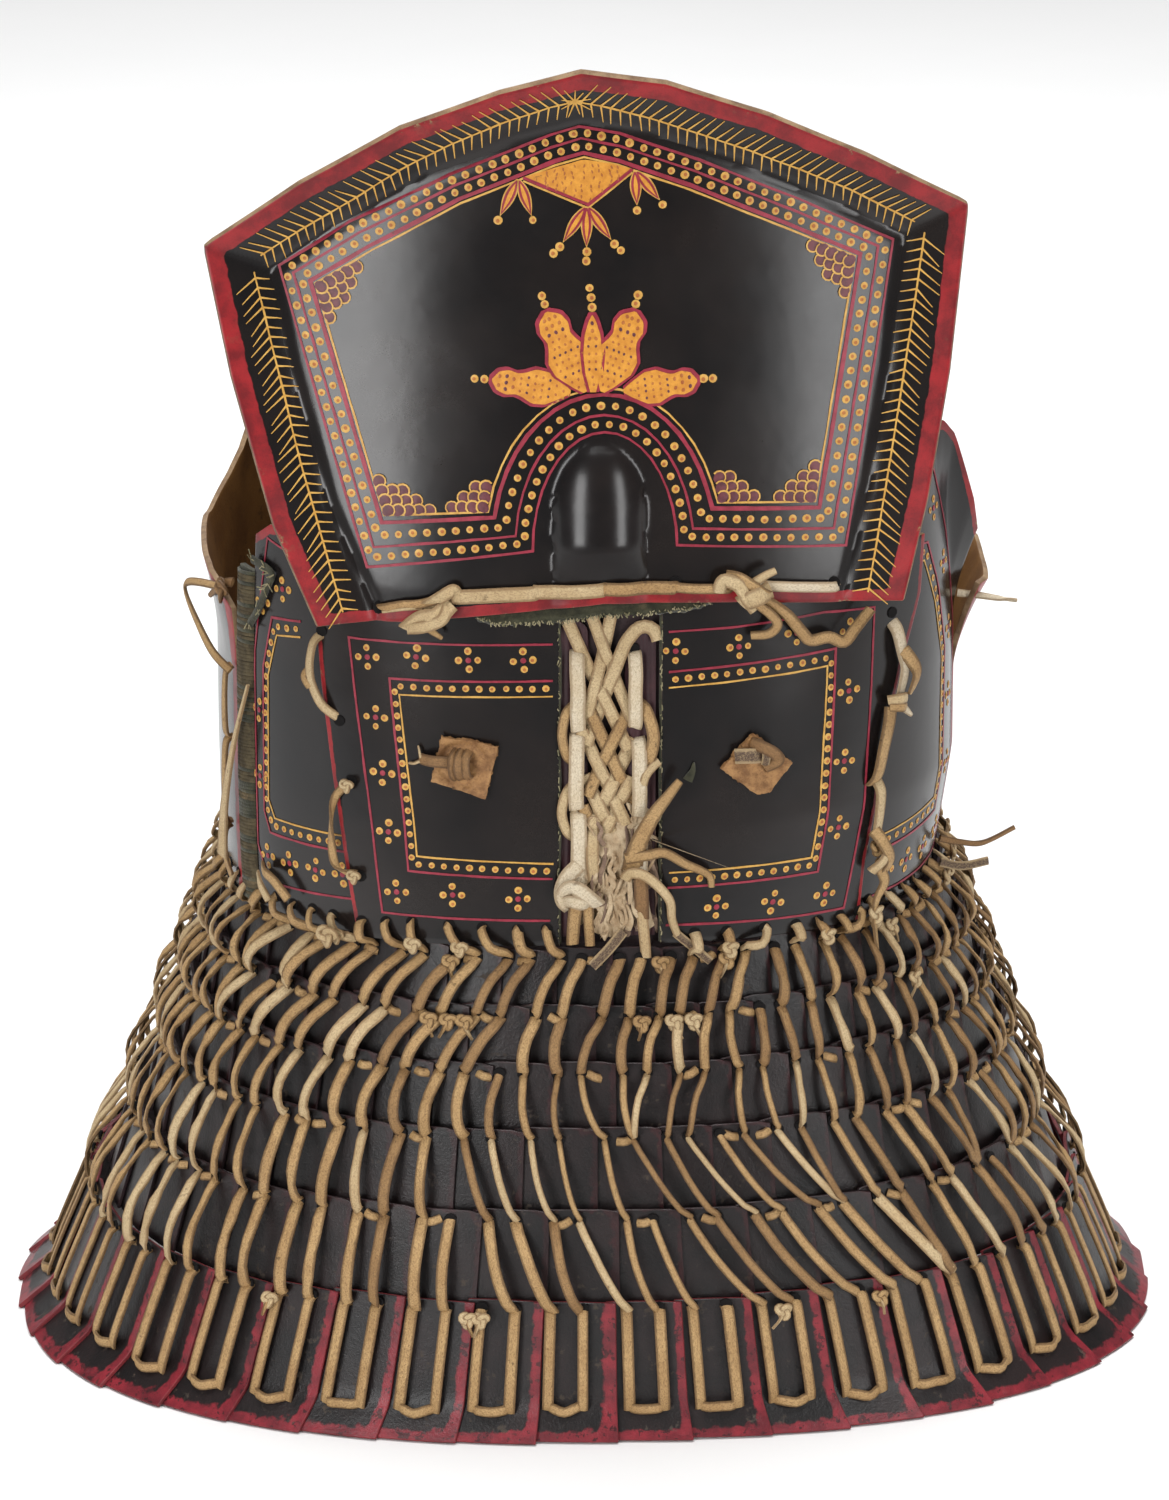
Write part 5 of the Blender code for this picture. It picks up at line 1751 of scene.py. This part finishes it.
for k, (width, taper, look, spots) in enumerate(looseLook["rows"]):
    own = newStack() if k in looseLook["free"] else stack
    spots, width = fromMm(spots), width / 1000
    addFrontStrap(own, spots, width, 0.0019, taper=taper, long=len(spots) > 4, twist=jitter(0.35), slot=look)
    if own is not stack:
        # a free end of stiff thong
        line = smoothPath([frontSpot(*spot) for spot in spots], 29)
        piece = finishStack(own, "looseEnd%d" % k, looseLook["slots"])
        tuple(line[0])
        sum((b - a).length for a, b in zip(line, line[1:]))
        [tuple(spot) for spot in line]
# near-black disc at a hole: painted shade for its dark inside
addDisc(stack, holeShadeDisc, frontSpot(0.0152, 0.39, 0.0026), Vector((1, 0, 0)), Vector((0, 0, 1)), Vector((0, -1, 0)),
    0.0026, 0.0026, 0.0008, 5)
finishStack(stack, "slotEnds", looseLook["slots"])
print("loose ends")


# Felt: frayed piping under the top plate and thin frayed edges along the slot.

feltLook = {
    # x, how far the felt hangs below the plate's edge
    "drop": [(-0.06, 0.001), (-0.05, 0.0046), (-0.02, 0.007), (0.015, 0.0058), (0.038, 0.0034), (0.052, 0.0006)],
    "behind": 0.011,
    "frays": 150,
    "edgeFrays": 60,
    "seed": 71,
}
chance = random.Random(feltLook["seed"])
fibreUnit = makeStrapUnit("fibreUnit", 1, 3)


def bottomZ(x):
    return float(np.interp(x, [spot[0] for spot in plateForm["bottom"]], [spot[1] for spot in plateForm["bottom"]]))


def feltPlace(u, v):
    x = -0.06 + 0.112 * u
    edge = bottomZ(x)
    z = edge + feltLook["behind"] - v * (feltLook["behind"] + readTable(feltLook["drop"], x))
    z -= 0.0008 * noiseAt(x * 160, 3.0, 0) * v
    y = plateDish(x, z) + plateForm["wall"] + 0.0004 - 0.0052 * exp(-(((z - edge + 0.005) / 0.0042) ** 2))
    return Vector((x, y + 0.0005 * noiseAt(x * 500, z * 500, 0), z))


felt = bentSheet("feltPiping", 150, 18, lambda u, v: feltPlace(1 - u, v), 0.0026, ["felt"], None, 0.0004)
declare(felt, "felt_under_plate")

stack = newStack()
for k in range(feltLook["frays"]):
    u = (k + chance.random()) / feltLook["frays"]
    root = feltPlace(u, chance.uniform(0.9, 1.0)) + Vector((0, -0.0006, 0))
    reach = chance.uniform(0.0006, 0.0019) * (0.55 if u > 0.75 else 1.0)
    tip = root + Vector((jitter(0.0014), chance.uniform(-0.0012, 0.0004), -reach))
    middle = root.lerp(tip, 0.5) + Vector((jitter(0.0004), -0.0004, 0))
    addStrap(stack, [root, middle, tip], Vector((0, -1, 0)), 0.00055, 0.0004, unit=fibreUnit,
        slot=chance.random() < 0.75)
for side, x in ((-1, -0.0199), (1, 0.0277)):
    for part in range(3):
        low, high = 0.24 + 0.056 * part, 0.2975 + 0.0545 * part
        spots = [(x + jitter(0.0003), low + t / 6 * (high - low), 0.003) for t in range(7)]
        addFrontStrap(stack, spots, 0.0013, 0.002, long=True)
    for k in range(feltLook["edgeFrays"]):
        z = 0.24 + 0.165 * (k + chance.random()) / feltLook["edgeFrays"]
        root = (x + side * 0.0004, z, 0.0042)
        tip = (x + side * chance.uniform(-0.0008, 0.001), z + jitter(0.0034), 0.0046)
        addFrontStrap(stack, [root, tip], 0.00055, 0.0005, unit=fibreUnit, slot=chance.random() < 0.7)
finishStack(stack, "feltFrays", ["felt", "frayPale"])
print("felt")


# Whipped binding on the left opening.

bindingLook = {
    "turns": 92,
    # one turn: degrees, share of the lean, how far out
    "turn": [
        (-68.8, -1.0, -0.0022), (-68.2, -0.9, 0.0008), (-66.4, -0.4, 0.0021),
        (-64.2, 0.4, 0.0022), (-62.4, 0.9, 0.001), (-61.9, 1.0, -0.0002),
    ],
    "low": 0.2392,
    "high": 0.408,
    "seed": 83,
}
chance = random.Random(bindingLook["seed"])


def bindingCore(u, v):
    z = torsoForm["bottom"] + v * (0.409 - torsoForm["bottom"])
    return torsoPoint(-68.3 + 6.0 * u, z, 0.0002)


core = bentSheet("sideBinding", 10, 60, bindingCore, 0.003, ["felt"], None, 0.0004)
declare(core, "side_binding")

stack = newStack()
pitch = (bindingLook["high"] - bindingLook["low"]) / bindingLook["turns"]
for k in range(bindingLook["turns"]):
    z = bindingLook["low"] + (k + 0.5) * pitch
    lean = pitch * 0.45 + jitter(0.0003)
    spots = [torsoPoint(degrees, z + part * lean, out) for degrees, part, out in bindingLook["turn"]]
    addStrap(stack, spots, outward(-65.3), pitch * chance.uniform(0.92, 1.12), 0.0013,
        slot=chance.choice((0, 1, 1, 1)))
top = [
    (-61.5, 0.4161), (-57.0, 0.415), (-54.5, 0.413), (-55.3, 0.408), (-56.3, 0.4044), (-58.6, 0.393),
    (-61.9, 0.3828),
]
addStrap(stack, [torsoPoint(degrees, z, 0.0022) for degrees, z in top], outward(-58), 0.004, 0.0018, long=True,
    slot=0)
for k in range(26):
    degrees, z = top[k % len(top)]
    root = torsoPoint(degrees + jitter(1), z, 0.0026)
    tip = torsoPoint(degrees + jitter(2.5), z + chance.uniform(-0.004, 0.006), 0.0042)
    addStrap(stack, [root, tip], outward(-58), 0.0006, 0.0005, unit=fibreUnit, slot=3)
finishStack(stack, "bindingTurns", ["felt", "bindBrown", "brownStrap", "frayPale"])
print("side binding")


# Thong along the top plate's lower edge, with its two knots.

plateThongLook = {
    "slots": ["strap", "hole", "paleStrap", "whiteStrap", "brownStrap"],
    # share of the way along a run, how far out
    "rise": [(0, -0.0006), (0.035, 0.002), (0.3, 0.0032), (0.6, 0.003), (0.965, 0.0022), (1, -0.0006)],
    # both ends, width, look
    "runs": [
        (-0.0712, 0.4186, -0.0322, 0.4212, 0.0072, 2), (-0.0332, 0.4216, -0.0004, 0.424, 0.0068, 2),
        (0.0, 0.4246, 0.0342, 0.4228, 0.0064, 0), (0.0346, 0.423, 0.06, 0.421, 0.0048, 0),
        (0.0765, 0.4216, 0.112, 0.4178, 0.005, 3),
    ],
    # x, height, half width, half height
    "holes": [
        (-0.1064, 0.4108, 0.0026, 0.0034), (-0.0327, 0.4232, 0.0016, 0.0032), (-0.0002, 0.4258, 0.0016, 0.003),
        (0.0344, 0.425, 0.003, 0.003), (0.1113, 0.4196, 0.003, 0.0032),
    ],
    # width, taper, look, twist; then x, height and out, lengths in mm
    "ends": [
        (4.6, 0.0, 0, 1.3, [(-105.7, 410.6, 0), (-103, 411.6, 2.4), (-95.5, 413.4, 3), (-86.7, 414.8, 4),
            (-77.8, 418, 5)]),
        (1.6, 0.0, 2, 0.0, [(-104.5, 409, 1), (-95.5, 411.6, 3.6), (-86, 412.8, 4)]),
        (6.2, 0.0, 2, 0.7, [(-85, 413, 3), (-77.5, 419.2, 6.6), (-71, 422.5, 4.8), (-69, 417, 1.6)]),
        (8.8, 0.0, 2, 0.9, [(-91.8, 401.2, 3.4), (-86.8, 408, 6.4), (-79.2, 410.4, 8.6), (-72.2, 416, 5)]),
        (6, 0.0, 2, -0.8, [(-91.2, 402.6, 6), (-84.5, 404.6, 8.6), (-76.8, 409, 9), (-73.8, 415, 6.6)]),
        (4.4, 0.55, 0, 0.8, [(-83, 403.8, 6), (-78.3, 400.8, 6), (-73.4, 397, 5)]),
        (6.8, 0.0, 2, 0.4, [(55.2, 420, 3), (57.2, 426.6, 6.6), (64, 424.8, 9), (69, 417.2, 9), (71.6, 410.6, 5.6)]),
        (5.4, 0.0, 0, 0.5, [(59, 428.5, 4), (65, 427.9, 8), (71.2, 424, 10), (76.5, 419.8, 9), (79.5, 417.2, 5.6)]),
        (8.8, 0.0, 2, 0.2, [(66, 414, 4), (69.8, 417.4, 10.8), (75, 419.6, 11.2), (79.6, 420.6, 5)]),
        (4.6, 0.25, 2, 0.6, [(69, 422.5, 6), (72.8, 426.2, 9), (77.5, 429.2, 10), (82, 430.6, 9)]),
        (5, 0.1, 0, 0.9, [(73.5, 414, 6), (77.5, 408, 8), (79.3, 401.6, 7.6), (76, 396.8, 6), (68.8, 395.7, 3)]),
        (6.4, 0.15, 0, 1.4, [(77.7, 415.7, 6), (85, 407.1, 7), (91, 396.6, 6), (96.2, 391, 4.8), (104.7, 391.4, 5),
            (111.6, 388, 5.6), (117.2, 394.1, 5.6), (125.2, 402.1, 4.6)]),
    ],
}


def plateSpotOut(x, z, out):
    # on the plate, and below its edge going over to the panel
    below = min(1.0, max(0.0, (bottomZ(x) + 0.001 - z) / 0.009)) * 0.85
    return platePlace(x, z, out).lerp(frontSpot(x, z, 0.0044 + out), below)


stack = newStack()
forward = Vector((0.0, -1.0, 0.08))
for x, z, endX, endZ, width, look in plateThongLook["runs"]:
    spots = [plateSpotOut(x + share * (endX - x), z + share * (endZ - z) + jitter(0.0002), out)
             for share, out in plateThongLook["rise"]]
    faces = [forward + Vector((0, 0, jitter(0.12))) for _ in range(4)]
    addStrap(stack, spots, faces, width, 0.0021, long=True, slot=look)
# near-black discs at the holes: painted shade for their dark insides
for x, z, wide, tall in plateThongLook["holes"]:
    addDisc(stack, holeShadeDisc, platePlace(x, z, 0.0003), Vector((1, 0, 0)), Vector((0, 0, 1)), forward, wide, tall,
        0.001, 1)
for width, taper, look, twist, spots in plateThongLook["ends"]:
    spots = [plateSpotOut(*spot) for spot in fromMm(spots)]
    addStrap(stack, spots, forward, width / 1000, 0.0018, twist=twist, turn=-twist / 2, taper=taper, long=True,
        slot=look)
finishStack(stack, "plateThong", plateThongLook["slots"], "plate_thong")
print("plate thong")


# Hide washers with their thong knots.

washerLook = {
    # corners from the lower left, going by the lower right to the upper right and upper left
    "left": [(-0.0785, 0.3234), (-0.0537, 0.3158), (-0.0479, 0.3423), (-0.0736, 0.3466)],
    "right": [(0.0549, 0.3291), (0.0748, 0.3118), (0.0884, 0.329), (0.0704, 0.3455)],
    "cut": 0.3155,
}


def buildWasher(name, node, corners, centre, ring):
    def spotOf(u, v):
        x, z = between(between(corners[0], corners[1], u), between(corners[3], corners[2], u), v)
        edge = max(abs(2 * u - 1), abs(2 * v - 1)) ** 4
        x += 0.0007 * edge * noiseAt(u * 5, v * 5, corners[0][0] * 90)
        z += 0.0007 * edge * noiseAt(u * 5, v * 5, corners[1][0] * 90)
        return (x, z if z > washerLook["cut"] else washerLook["cut"] - 0.2 * (washerLook["cut"] - z))

    def lift(x, z):
        away = hypot(x - centre[0], z - centre[1])
        rough = 0.0004 * noiseAt(x * 420, z * 420, 4) + 0.0003 * noiseAt(x * 900, z * 900, 4)
        return rough + 0.0016 * (away / 0.018) ** 2 - ring * exp(-(((away - 0.0105) / 0.0014) ** 2))

    declare(frontSheet(name, 54, 54, spotOf, 0.007, 0.0022, ["washer"], lift, 0.0003), node)


buildWasher("washerLeft", "washer_left", washerLook["left"], (-0.0636, 0.3325), 0.0007)
buildWasher("washerRight", "washer_right", washerLook["right"], (0.0725, 0.331), 0.0002)
stack = newStack()
for k, x in enumerate((-0.0672, -0.0644, -0.0612)):
    middle = (x, 0.333 - 0.0004 * k, 0.0142 - 0.0008 * abs(k - 1))
    spots = [(x, 0.3394, 0.0072), (x - 0.0002, 0.3374, 0.0122), middle, (x + 0.0003, 0.3284, 0.012),
        (x, 0.3262, 0.0072)]
    addFrontStrap(stack, spots, 0.0044, 0.0022, turn=0.35 * (1 - k), long=True)
for width, taper, look, spots in [
    (6, 0.1, 0, [(-65.5, 334.6, 10.4), (-71.5, 334.8, 11.2), (-78, 334.6, 10), (-84, 334.3, 6.2)]),
    (1.6, 0.4, 1, [(-83.6, 335.2, 7), (-84, 338, 7.2), (-85.2, 340.2, 5.6)]),
    (1.6, 0.3, 1, [(-83.8, 333.4, 7), (-86.6, 331.8, 6.4), (-89.6, 331.2, 5)]),
    (7.4, 0.0, 2, [(61.2, 335, 8), (66, 335.5, 10.4), (70, 335.4, 10.8), (74.4, 335, 9.2)]),
    (6, 0.0, 0, [(69, 341.2, 8.2), (72.2, 340.2, 12.8), (76.8, 337, 14), (79, 332.8, 12.8), (75.2, 328.4, 8)]),
    (4, 0.0, 2, [(74.2, 339, 11), (73.6, 335, 13), (74.4, 330.6, 10)]),
]:
    addFrontStrap(stack, fromMm(spots), width / 1000, 0.002, taper=taper, long=True, slot=look)
finishStack(stack, "washerKnots", ["brownStrap", "paleStrap", "darkStrap"])
print("washers")


# Thongs that lace the side edges of the front panels, and what hangs on the left opening.

sideThongLook = {
    "slots": ["strap", "hole", "paleStrap", "whiteStrap", "brownStrap", "darkStrap"],
    # node or None, width, taper, twist, look; then degrees, height and out, lengths in mm
    "rows": [
        ("edge_thong_left_high", 5, 0.1, 0.8, 2,
            [(-40.6, 390.4, 2), (-41.4, 387, 6.2), (-41.9, 379, 7.4), (-41.8, 372, 8), (-41.3, 365, 7.6),
            (-39.3, 355.6, 7), (-36.8, 349.2, 3.4)]),
        ("edge_thong_left_low", 4.2, 0.0, 7.0, 0,
            [(-34.6, 317.2, 3.6), (-36.7, 310.5, 6.6), (-37.5, 299.8, 7.2), (-37.4, 286.9, 7.4), (-36.9, 276.7, 7.2),
            (-35.3, 272.2, 6.6), (-32.8, 270.6, 3.6)]),
        ("edge_thong_right", 7.4, 0.0, 0.3, 0,
            [(43.2, 348, 7), (42.4, 340, 8), (41.2, 328, 8), (40.1, 315, 7.4), (39.6, 309.5, 4)]),
        (None, 7.2, 0.0, 0.5, 3, [(44.9, 391.5, 1.5), (45.2, 386, 6.2), (45.8, 375, 8), (46.4, 366, 8.4),
            (44.8, 352, 8.4)]),
        (None, 7.2, 0.2, 0.9, 0, [(45.6, 376, 9), (48.4, 364, 11), (47, 353, 9.6)]),
        (None, 5.4, 0.0, 0.2, 2, [(42.2, 352, 7.6), (44, 353, 11.8), (46.4, 351.4, 9)]),
        (None, 4.6, 0.0, 0.2, 0, [(42.6, 348.6, 8), (44.2, 348.4, 11.6), (46.2, 347, 9)]),
        (None, 4.2, 0.5, 0.9, 3, [(45.6, 347, 9), (47.6, 342, 9.6)]),
        (None, 6.2, 0.0, 0.2, 2, [(40.7, 311.2, 5), (40.7, 306, 7.8), (40.7, 296, 8), (40.9, 285, 7.6)]),
        (None, 6.6, 0.0, 0.5, 0, [(39.8, 287, 8), (41.4, 280, 11.4), (43.8, 270, 11.4), (43.8, 261, 8)]),
        (None, 5.8, 0.0, -0.4, 2, [(43.8, 279, 8), (42, 272, 12), (40.6, 265, 8.4)]),
        (None, 5.6, 0.3, 1.2, 0, [(42, 268, 8), (43.6, 259, 10.6), (42.8, 250, 9.6), (43, 240, 9.6),
            (43.6, 223, 10.4)]),
        (None, 4, 0.0, 1.0, 0, [(-42, 374, 6), (-43, 369, 8), (-41.6, 364, 8)]),
        (None, 5, 0.5, 1.0, 4, [(-69, 399, 3), (-72, 396.5, 5.6), (-75.5, 390.5, 6), (-79.3, 383.8, 6.6)]),
        (None, 4, 0.0, 1.6, 0, [(-72, 395, 7), (-80, 390.5, 12), (-84, 386, 16.4), (-84, 380, 16.4),
            (-80, 370, 12.4), (-74, 360, 8.4), (-69, 354, 4)]),
        (None, 5, 0.0, 0.3, 0, [(-70, 356, 2), (-70.2, 353, 5), (-70.4, 337.8, 5.8), (-70.7, 321.5, 5),
            (-70.7, 319, 2)]),
        (None, 5, 0.0, -0.3, 0, [(-70.8, 318.2, 2), (-70.9, 315, 5), (-71.2, 295.8, 5.8), (-71.8, 277, 5),
            (-71.9, 274, 2)]),
        (None, 5, 0.0, 0.3, 0, [(-72, 272.2, 2), (-72.2, 269, 5), (-72.4, 256, 5.8), (-72.6, 244, 3)]),
        (None, 7.8, 0.78, 0.3, 2, [(-60.5, 353.2, 5), (-64.8, 321.7, 7), (-69, 286.6, 8), (-72.1, 255.9, 7.6)][::-1]),
        (None, 5, 0.0, 0.6, 0, [(-57.6, 262, 3), (-55.4, 260.6, 6), (-52.4, 258, 6.4), (-48.7, 250.5, 6)]),
        (None, 5, 0.2, 0.6, 2, [(-59.5, 256, 3), (-57, 253, 6), (-54, 247, 7)]),
        (None, 4, 0.45, 0.6, 3, [(79, 379, 2), (79.5, 378, 12), (80, 376.5, 22), (80, 376, 31)]),
        (None, 3.4, 0.3, 0.8, 4, [(74, 256, 3), (77, 252, 13), (79, 250.5, 24), (81, 257, 38)]),
        (None, 4.6, 0.1, 0.4, 5, [(72, 246, 6), (75, 242, 16), (78, 242.5, 28)]),
    ],
    # degrees, height, size, look
    "knots": [
        (-70.6, 0.3948, 0.0052, 4), (-34.3, 0.3168, 0.003, 2), (-32.9, 0.2704, 0.003, 2),
        (-38.0, 0.2385, 0.0048, 2), (41.6, 0.2768, 0.0036, 0), (43.6, 0.2668, 0.0036, 0),
        (43.2, 0.242, 0.004, 2),
    ],
    "holes": [(-40.4, 0.392), (-36.5, 0.3482), (-34.2, 0.3182), (-32.3, 0.27), (44.9, 0.3945), (-79.6, 0.3862)],
}
stack = newStack()
for node, width, taper, twist, look, spots in sideThongLook["rows"]:
    way = outward(spots[len(spots) // 2][0])
    own = newStack() if node else stack
    spots = [torsoPoint(degrees, z / 1000, out / 1000) for degrees, z, out in spots]
    addStrap(own, spots, way, width / 1000, 0.0019, twist=twist, turn=-twist / 2, taper=taper, long=True, slot=look)
    if node:
        finishStack(own, node.title().replace("_", ""), sideThongLook["slots"], node)


def aroundSpot(degrees, z, out):
    # right, up and outward ways at a place on the torso
    right = (torsoPoint(degrees + 0.5, z, out) - torsoPoint(degrees - 0.5, z, out)).normalized()
    return torsoPoint(degrees, z, out), right, Vector((0, 0, 1)), outward(degrees)


for degrees, z, size, look in sideThongLook["knots"]:
    spot, right, up, away = aroundSpot(degrees, z, 0.0076 if z > 0.25 else 0.01)
    addKnot(stack, spot, right, up, away, size, size * 0.75, 0.0018, look)
# near-black discs at the holes: painted shade for their dark insides
for degrees, z in sideThongLook["holes"]:
    spot, right, up, away = aroundSpot(degrees, z, 0.004 if abs(degrees) < 46 else 0.0006)
    addDisc(stack, holeShadeDisc, spot, right, up, away, 0.003, 0.0028, 0.0012, 1)

# Hangers from the shell's bottom edge to the first row.
hangerLook = {
    "front": [
        (-32.2, 0.2457), (-27.5, 0.247), (-22.9, 0.2481), (-16.8, 0.2478), (-11.9, 0.2469), (-7.2, 0.2461),
        (-3.9, 0.2466), (10.5, 0.2425), (15.2, 0.2424), (21.4, 0.2424), (27.1, 0.242), (31.6, 0.242),
        (36.4, 0.2424), (41.0, 0.2424),
    ],
    "pitch": 5.4,
    "seed": 97,
}
chance = random.Random(hangerLook["seed"])
rounds = [(degrees, z, 0.004) for degrees, z in hangerLook["front"]]
angle = 45.5
while angle < 326.0:
    rounds.append((angle + jitter(0.7), 0.2446 + jitter(0.0006), 0.0))
    angle += hangerLook["pitch"]
targets = holeAngles(rowSpans[0])
for degrees, z, base in rounds:
    goal = nearestAngle(targets, degrees + chance.uniform(-2.0, 1.0))
    low, lowRight, lowUp, lowAway = rowFrame(rowPlace(0), goal, 0.2321)
    spot, right, up, away = aroundSpot(degrees, z, base)
    spots = [
        spot + up * 0.0012 - away * 0.0008, spot + away * 0.0026,
        spot.lerp(low, 0.45) + away * (0.006 + chance.uniform(0, 0.002)),
        low + lowAway * 0.0046 + lowUp * 0.003, low - lowAway * 0.001,
    ]
    faces = [away + right * jitter(0.5), away, lowAway + lowRight * jitter(0.4)]
    addStrap(stack, spots, faces, 0.005 * chance.uniform(0.85, 1.12), 0.0018, slot=0 if chance.random() < 0.7 else 2)
    # near-black disc at the hole: painted shade for its dark inside
    addDisc(stack, holeShadeDisc, spot + up * 0.0012, right, up, away, 0.003, 0.0027, 0.001, 1)
    if chance.random() < 0.35:
        addKnot(stack, spot.lerp(low, 0.55) + away * 0.0078, right, up, away, 0.0034, 0.003, 0.0016, 2)
for k in range(16):
    degrees, row = chance.uniform(-50, 62), chance.choice((0, 0, 0, 1, 1, 2, 5, 5))
    spot, right, up, away = rowFrame(rowPlace(row), degrees, rowTop(row) - 0.0085)
    addKnot(stack, spot + away * 0.0062, right, up, away, 0.0036, 0.003, 0.0016, chance.choice((0, 2)))
    tail = spot + away * 0.006
    lean = jitter(0.007)
    spots = [tail, tail + right * lean * 0.4 - up * 0.004 + away * 0.001, tail + right * lean - up * 0.0085]
    addStrap(stack, spots, away, 0.0026, 0.0014, twist=1.5, taper=0.4, slot=chance.choice((0, 2)))
finishStack(stack, "hangersAndKnots", sideThongLook["slots"])
print("hangers and knots")


# Floor, light and camera.

stageLook = {
    "floor": (0.86, 0.86, 0.86),
    "fieldOfView": 10.5,
    "elevation": 18.5,
    "azimuth": -3.0,
    "distance": 4.0809,
    "aim": (0.0, 0.0, 0.2857),
}


def makeFloor():
    clearSelection()
    bpy.ops.mesh.primitive_plane_add(size=16.0, location=(0, 0, -0.0002))
    floor = bpy.context.object
    floor.name = "studioFloor"
    material, tree, shader = newMaterial("studioFloor", 0.9, 0.1)
    tone = useGroup(tree, toneGroup, First=stageLook["floor"], Second=(0.84, 0.84, 0.84), Size=2.0, Specks=0.0)
    # painted shade: the floor is painted greyer well in front of the object, so that the lacquer mirrors less of it
    y = addNode(tree, "SeparateXYZ", {0: objectCoords(tree)}).outputs[1]
    near = ramp(tree, y, -0.85, -0.42)
    feed(tree, shader["Base Color"], mix(tree, near, (0.2, 0.2, 0.2), tone["Color"]))
    floor.data.materials.append(material)


def addLight(name, place, aim, width, height, power):
    data = bpy.data.lights.new(name, "AREA")
    data.shape = "RECTANGLE"
    data.size = width
    data.size_y = height
    data.energy = power
    light = bpy.data.objects.new(name, data)
    light.location = place
    light.rotation_euler = (Vector(aim) - Vector(place)).to_track_quat("-Z", "Y").to_euler()
    bpy.context.scene.collection.objects.link(light)


def makeCamera():
    up, side = radians(stageLook["elevation"]), radians(stageLook["azimuth"])
    back = Vector((sin(side) * cos(up), -cos(side) * cos(up), sin(up)))
    data = bpy.data.cameras.new("photoCamera")
    data.sensor_fit = "VERTICAL"
    data.angle = radians(stageLook["fieldOfView"])
    data.clip_end = 50
    camera = bpy.data.objects.new("photoCamera", data)
    camera.location = Vector(stageLook["aim"]) + back * stageLook["distance"]
    camera.rotation_euler = (-back).to_track_quat("-Z", "Y").to_euler()
    bpy.context.scene.collection.objects.link(camera)
    bpy.context.scene.camera = camera


makeFloor()
addLight("leftSoftbox", (-0.98, -1.54, 0.42), (0, 0, 0.33), 0.52, 1.6, 22)
addLight("rightSoftbox", (1.06, -1.46, 0.42), (0, 0, 0.33), 0.42, 1.6, 15)
addLight("overheadSoftbox", (0.1, -0.5, 2.3), (0, 0, 0.3), 1.6, 1.2, 26)
addLight("backSoftbox", (0.0, 2.2, 1.6), (0, 0, 0.3), 1.8, 1.0, 22)
sunData = bpy.data.lights.new("skySun", "SUN")
sunData.energy = 2.2
sunData.angle = radians(50)
sun = bpy.data.objects.new("skySun", sunData)
sun.rotation_euler = (radians(-14), 0, 0)
bpy.context.scene.collection.objects.link(sun)
world = bpy.data.worlds.new("studioWorld")
world.use_nodes = True
world.node_tree.nodes["Background"].inputs["Color"].default_value = (1.0, 1.0, 1.0, 1.0)
world.node_tree.nodes["Background"].inputs["Strength"].default_value = 0.16
bpy.context.scene.world = world
makeCamera()
bpy.context.scene.view_settings.view_transform = "Standard"
print("stage set")
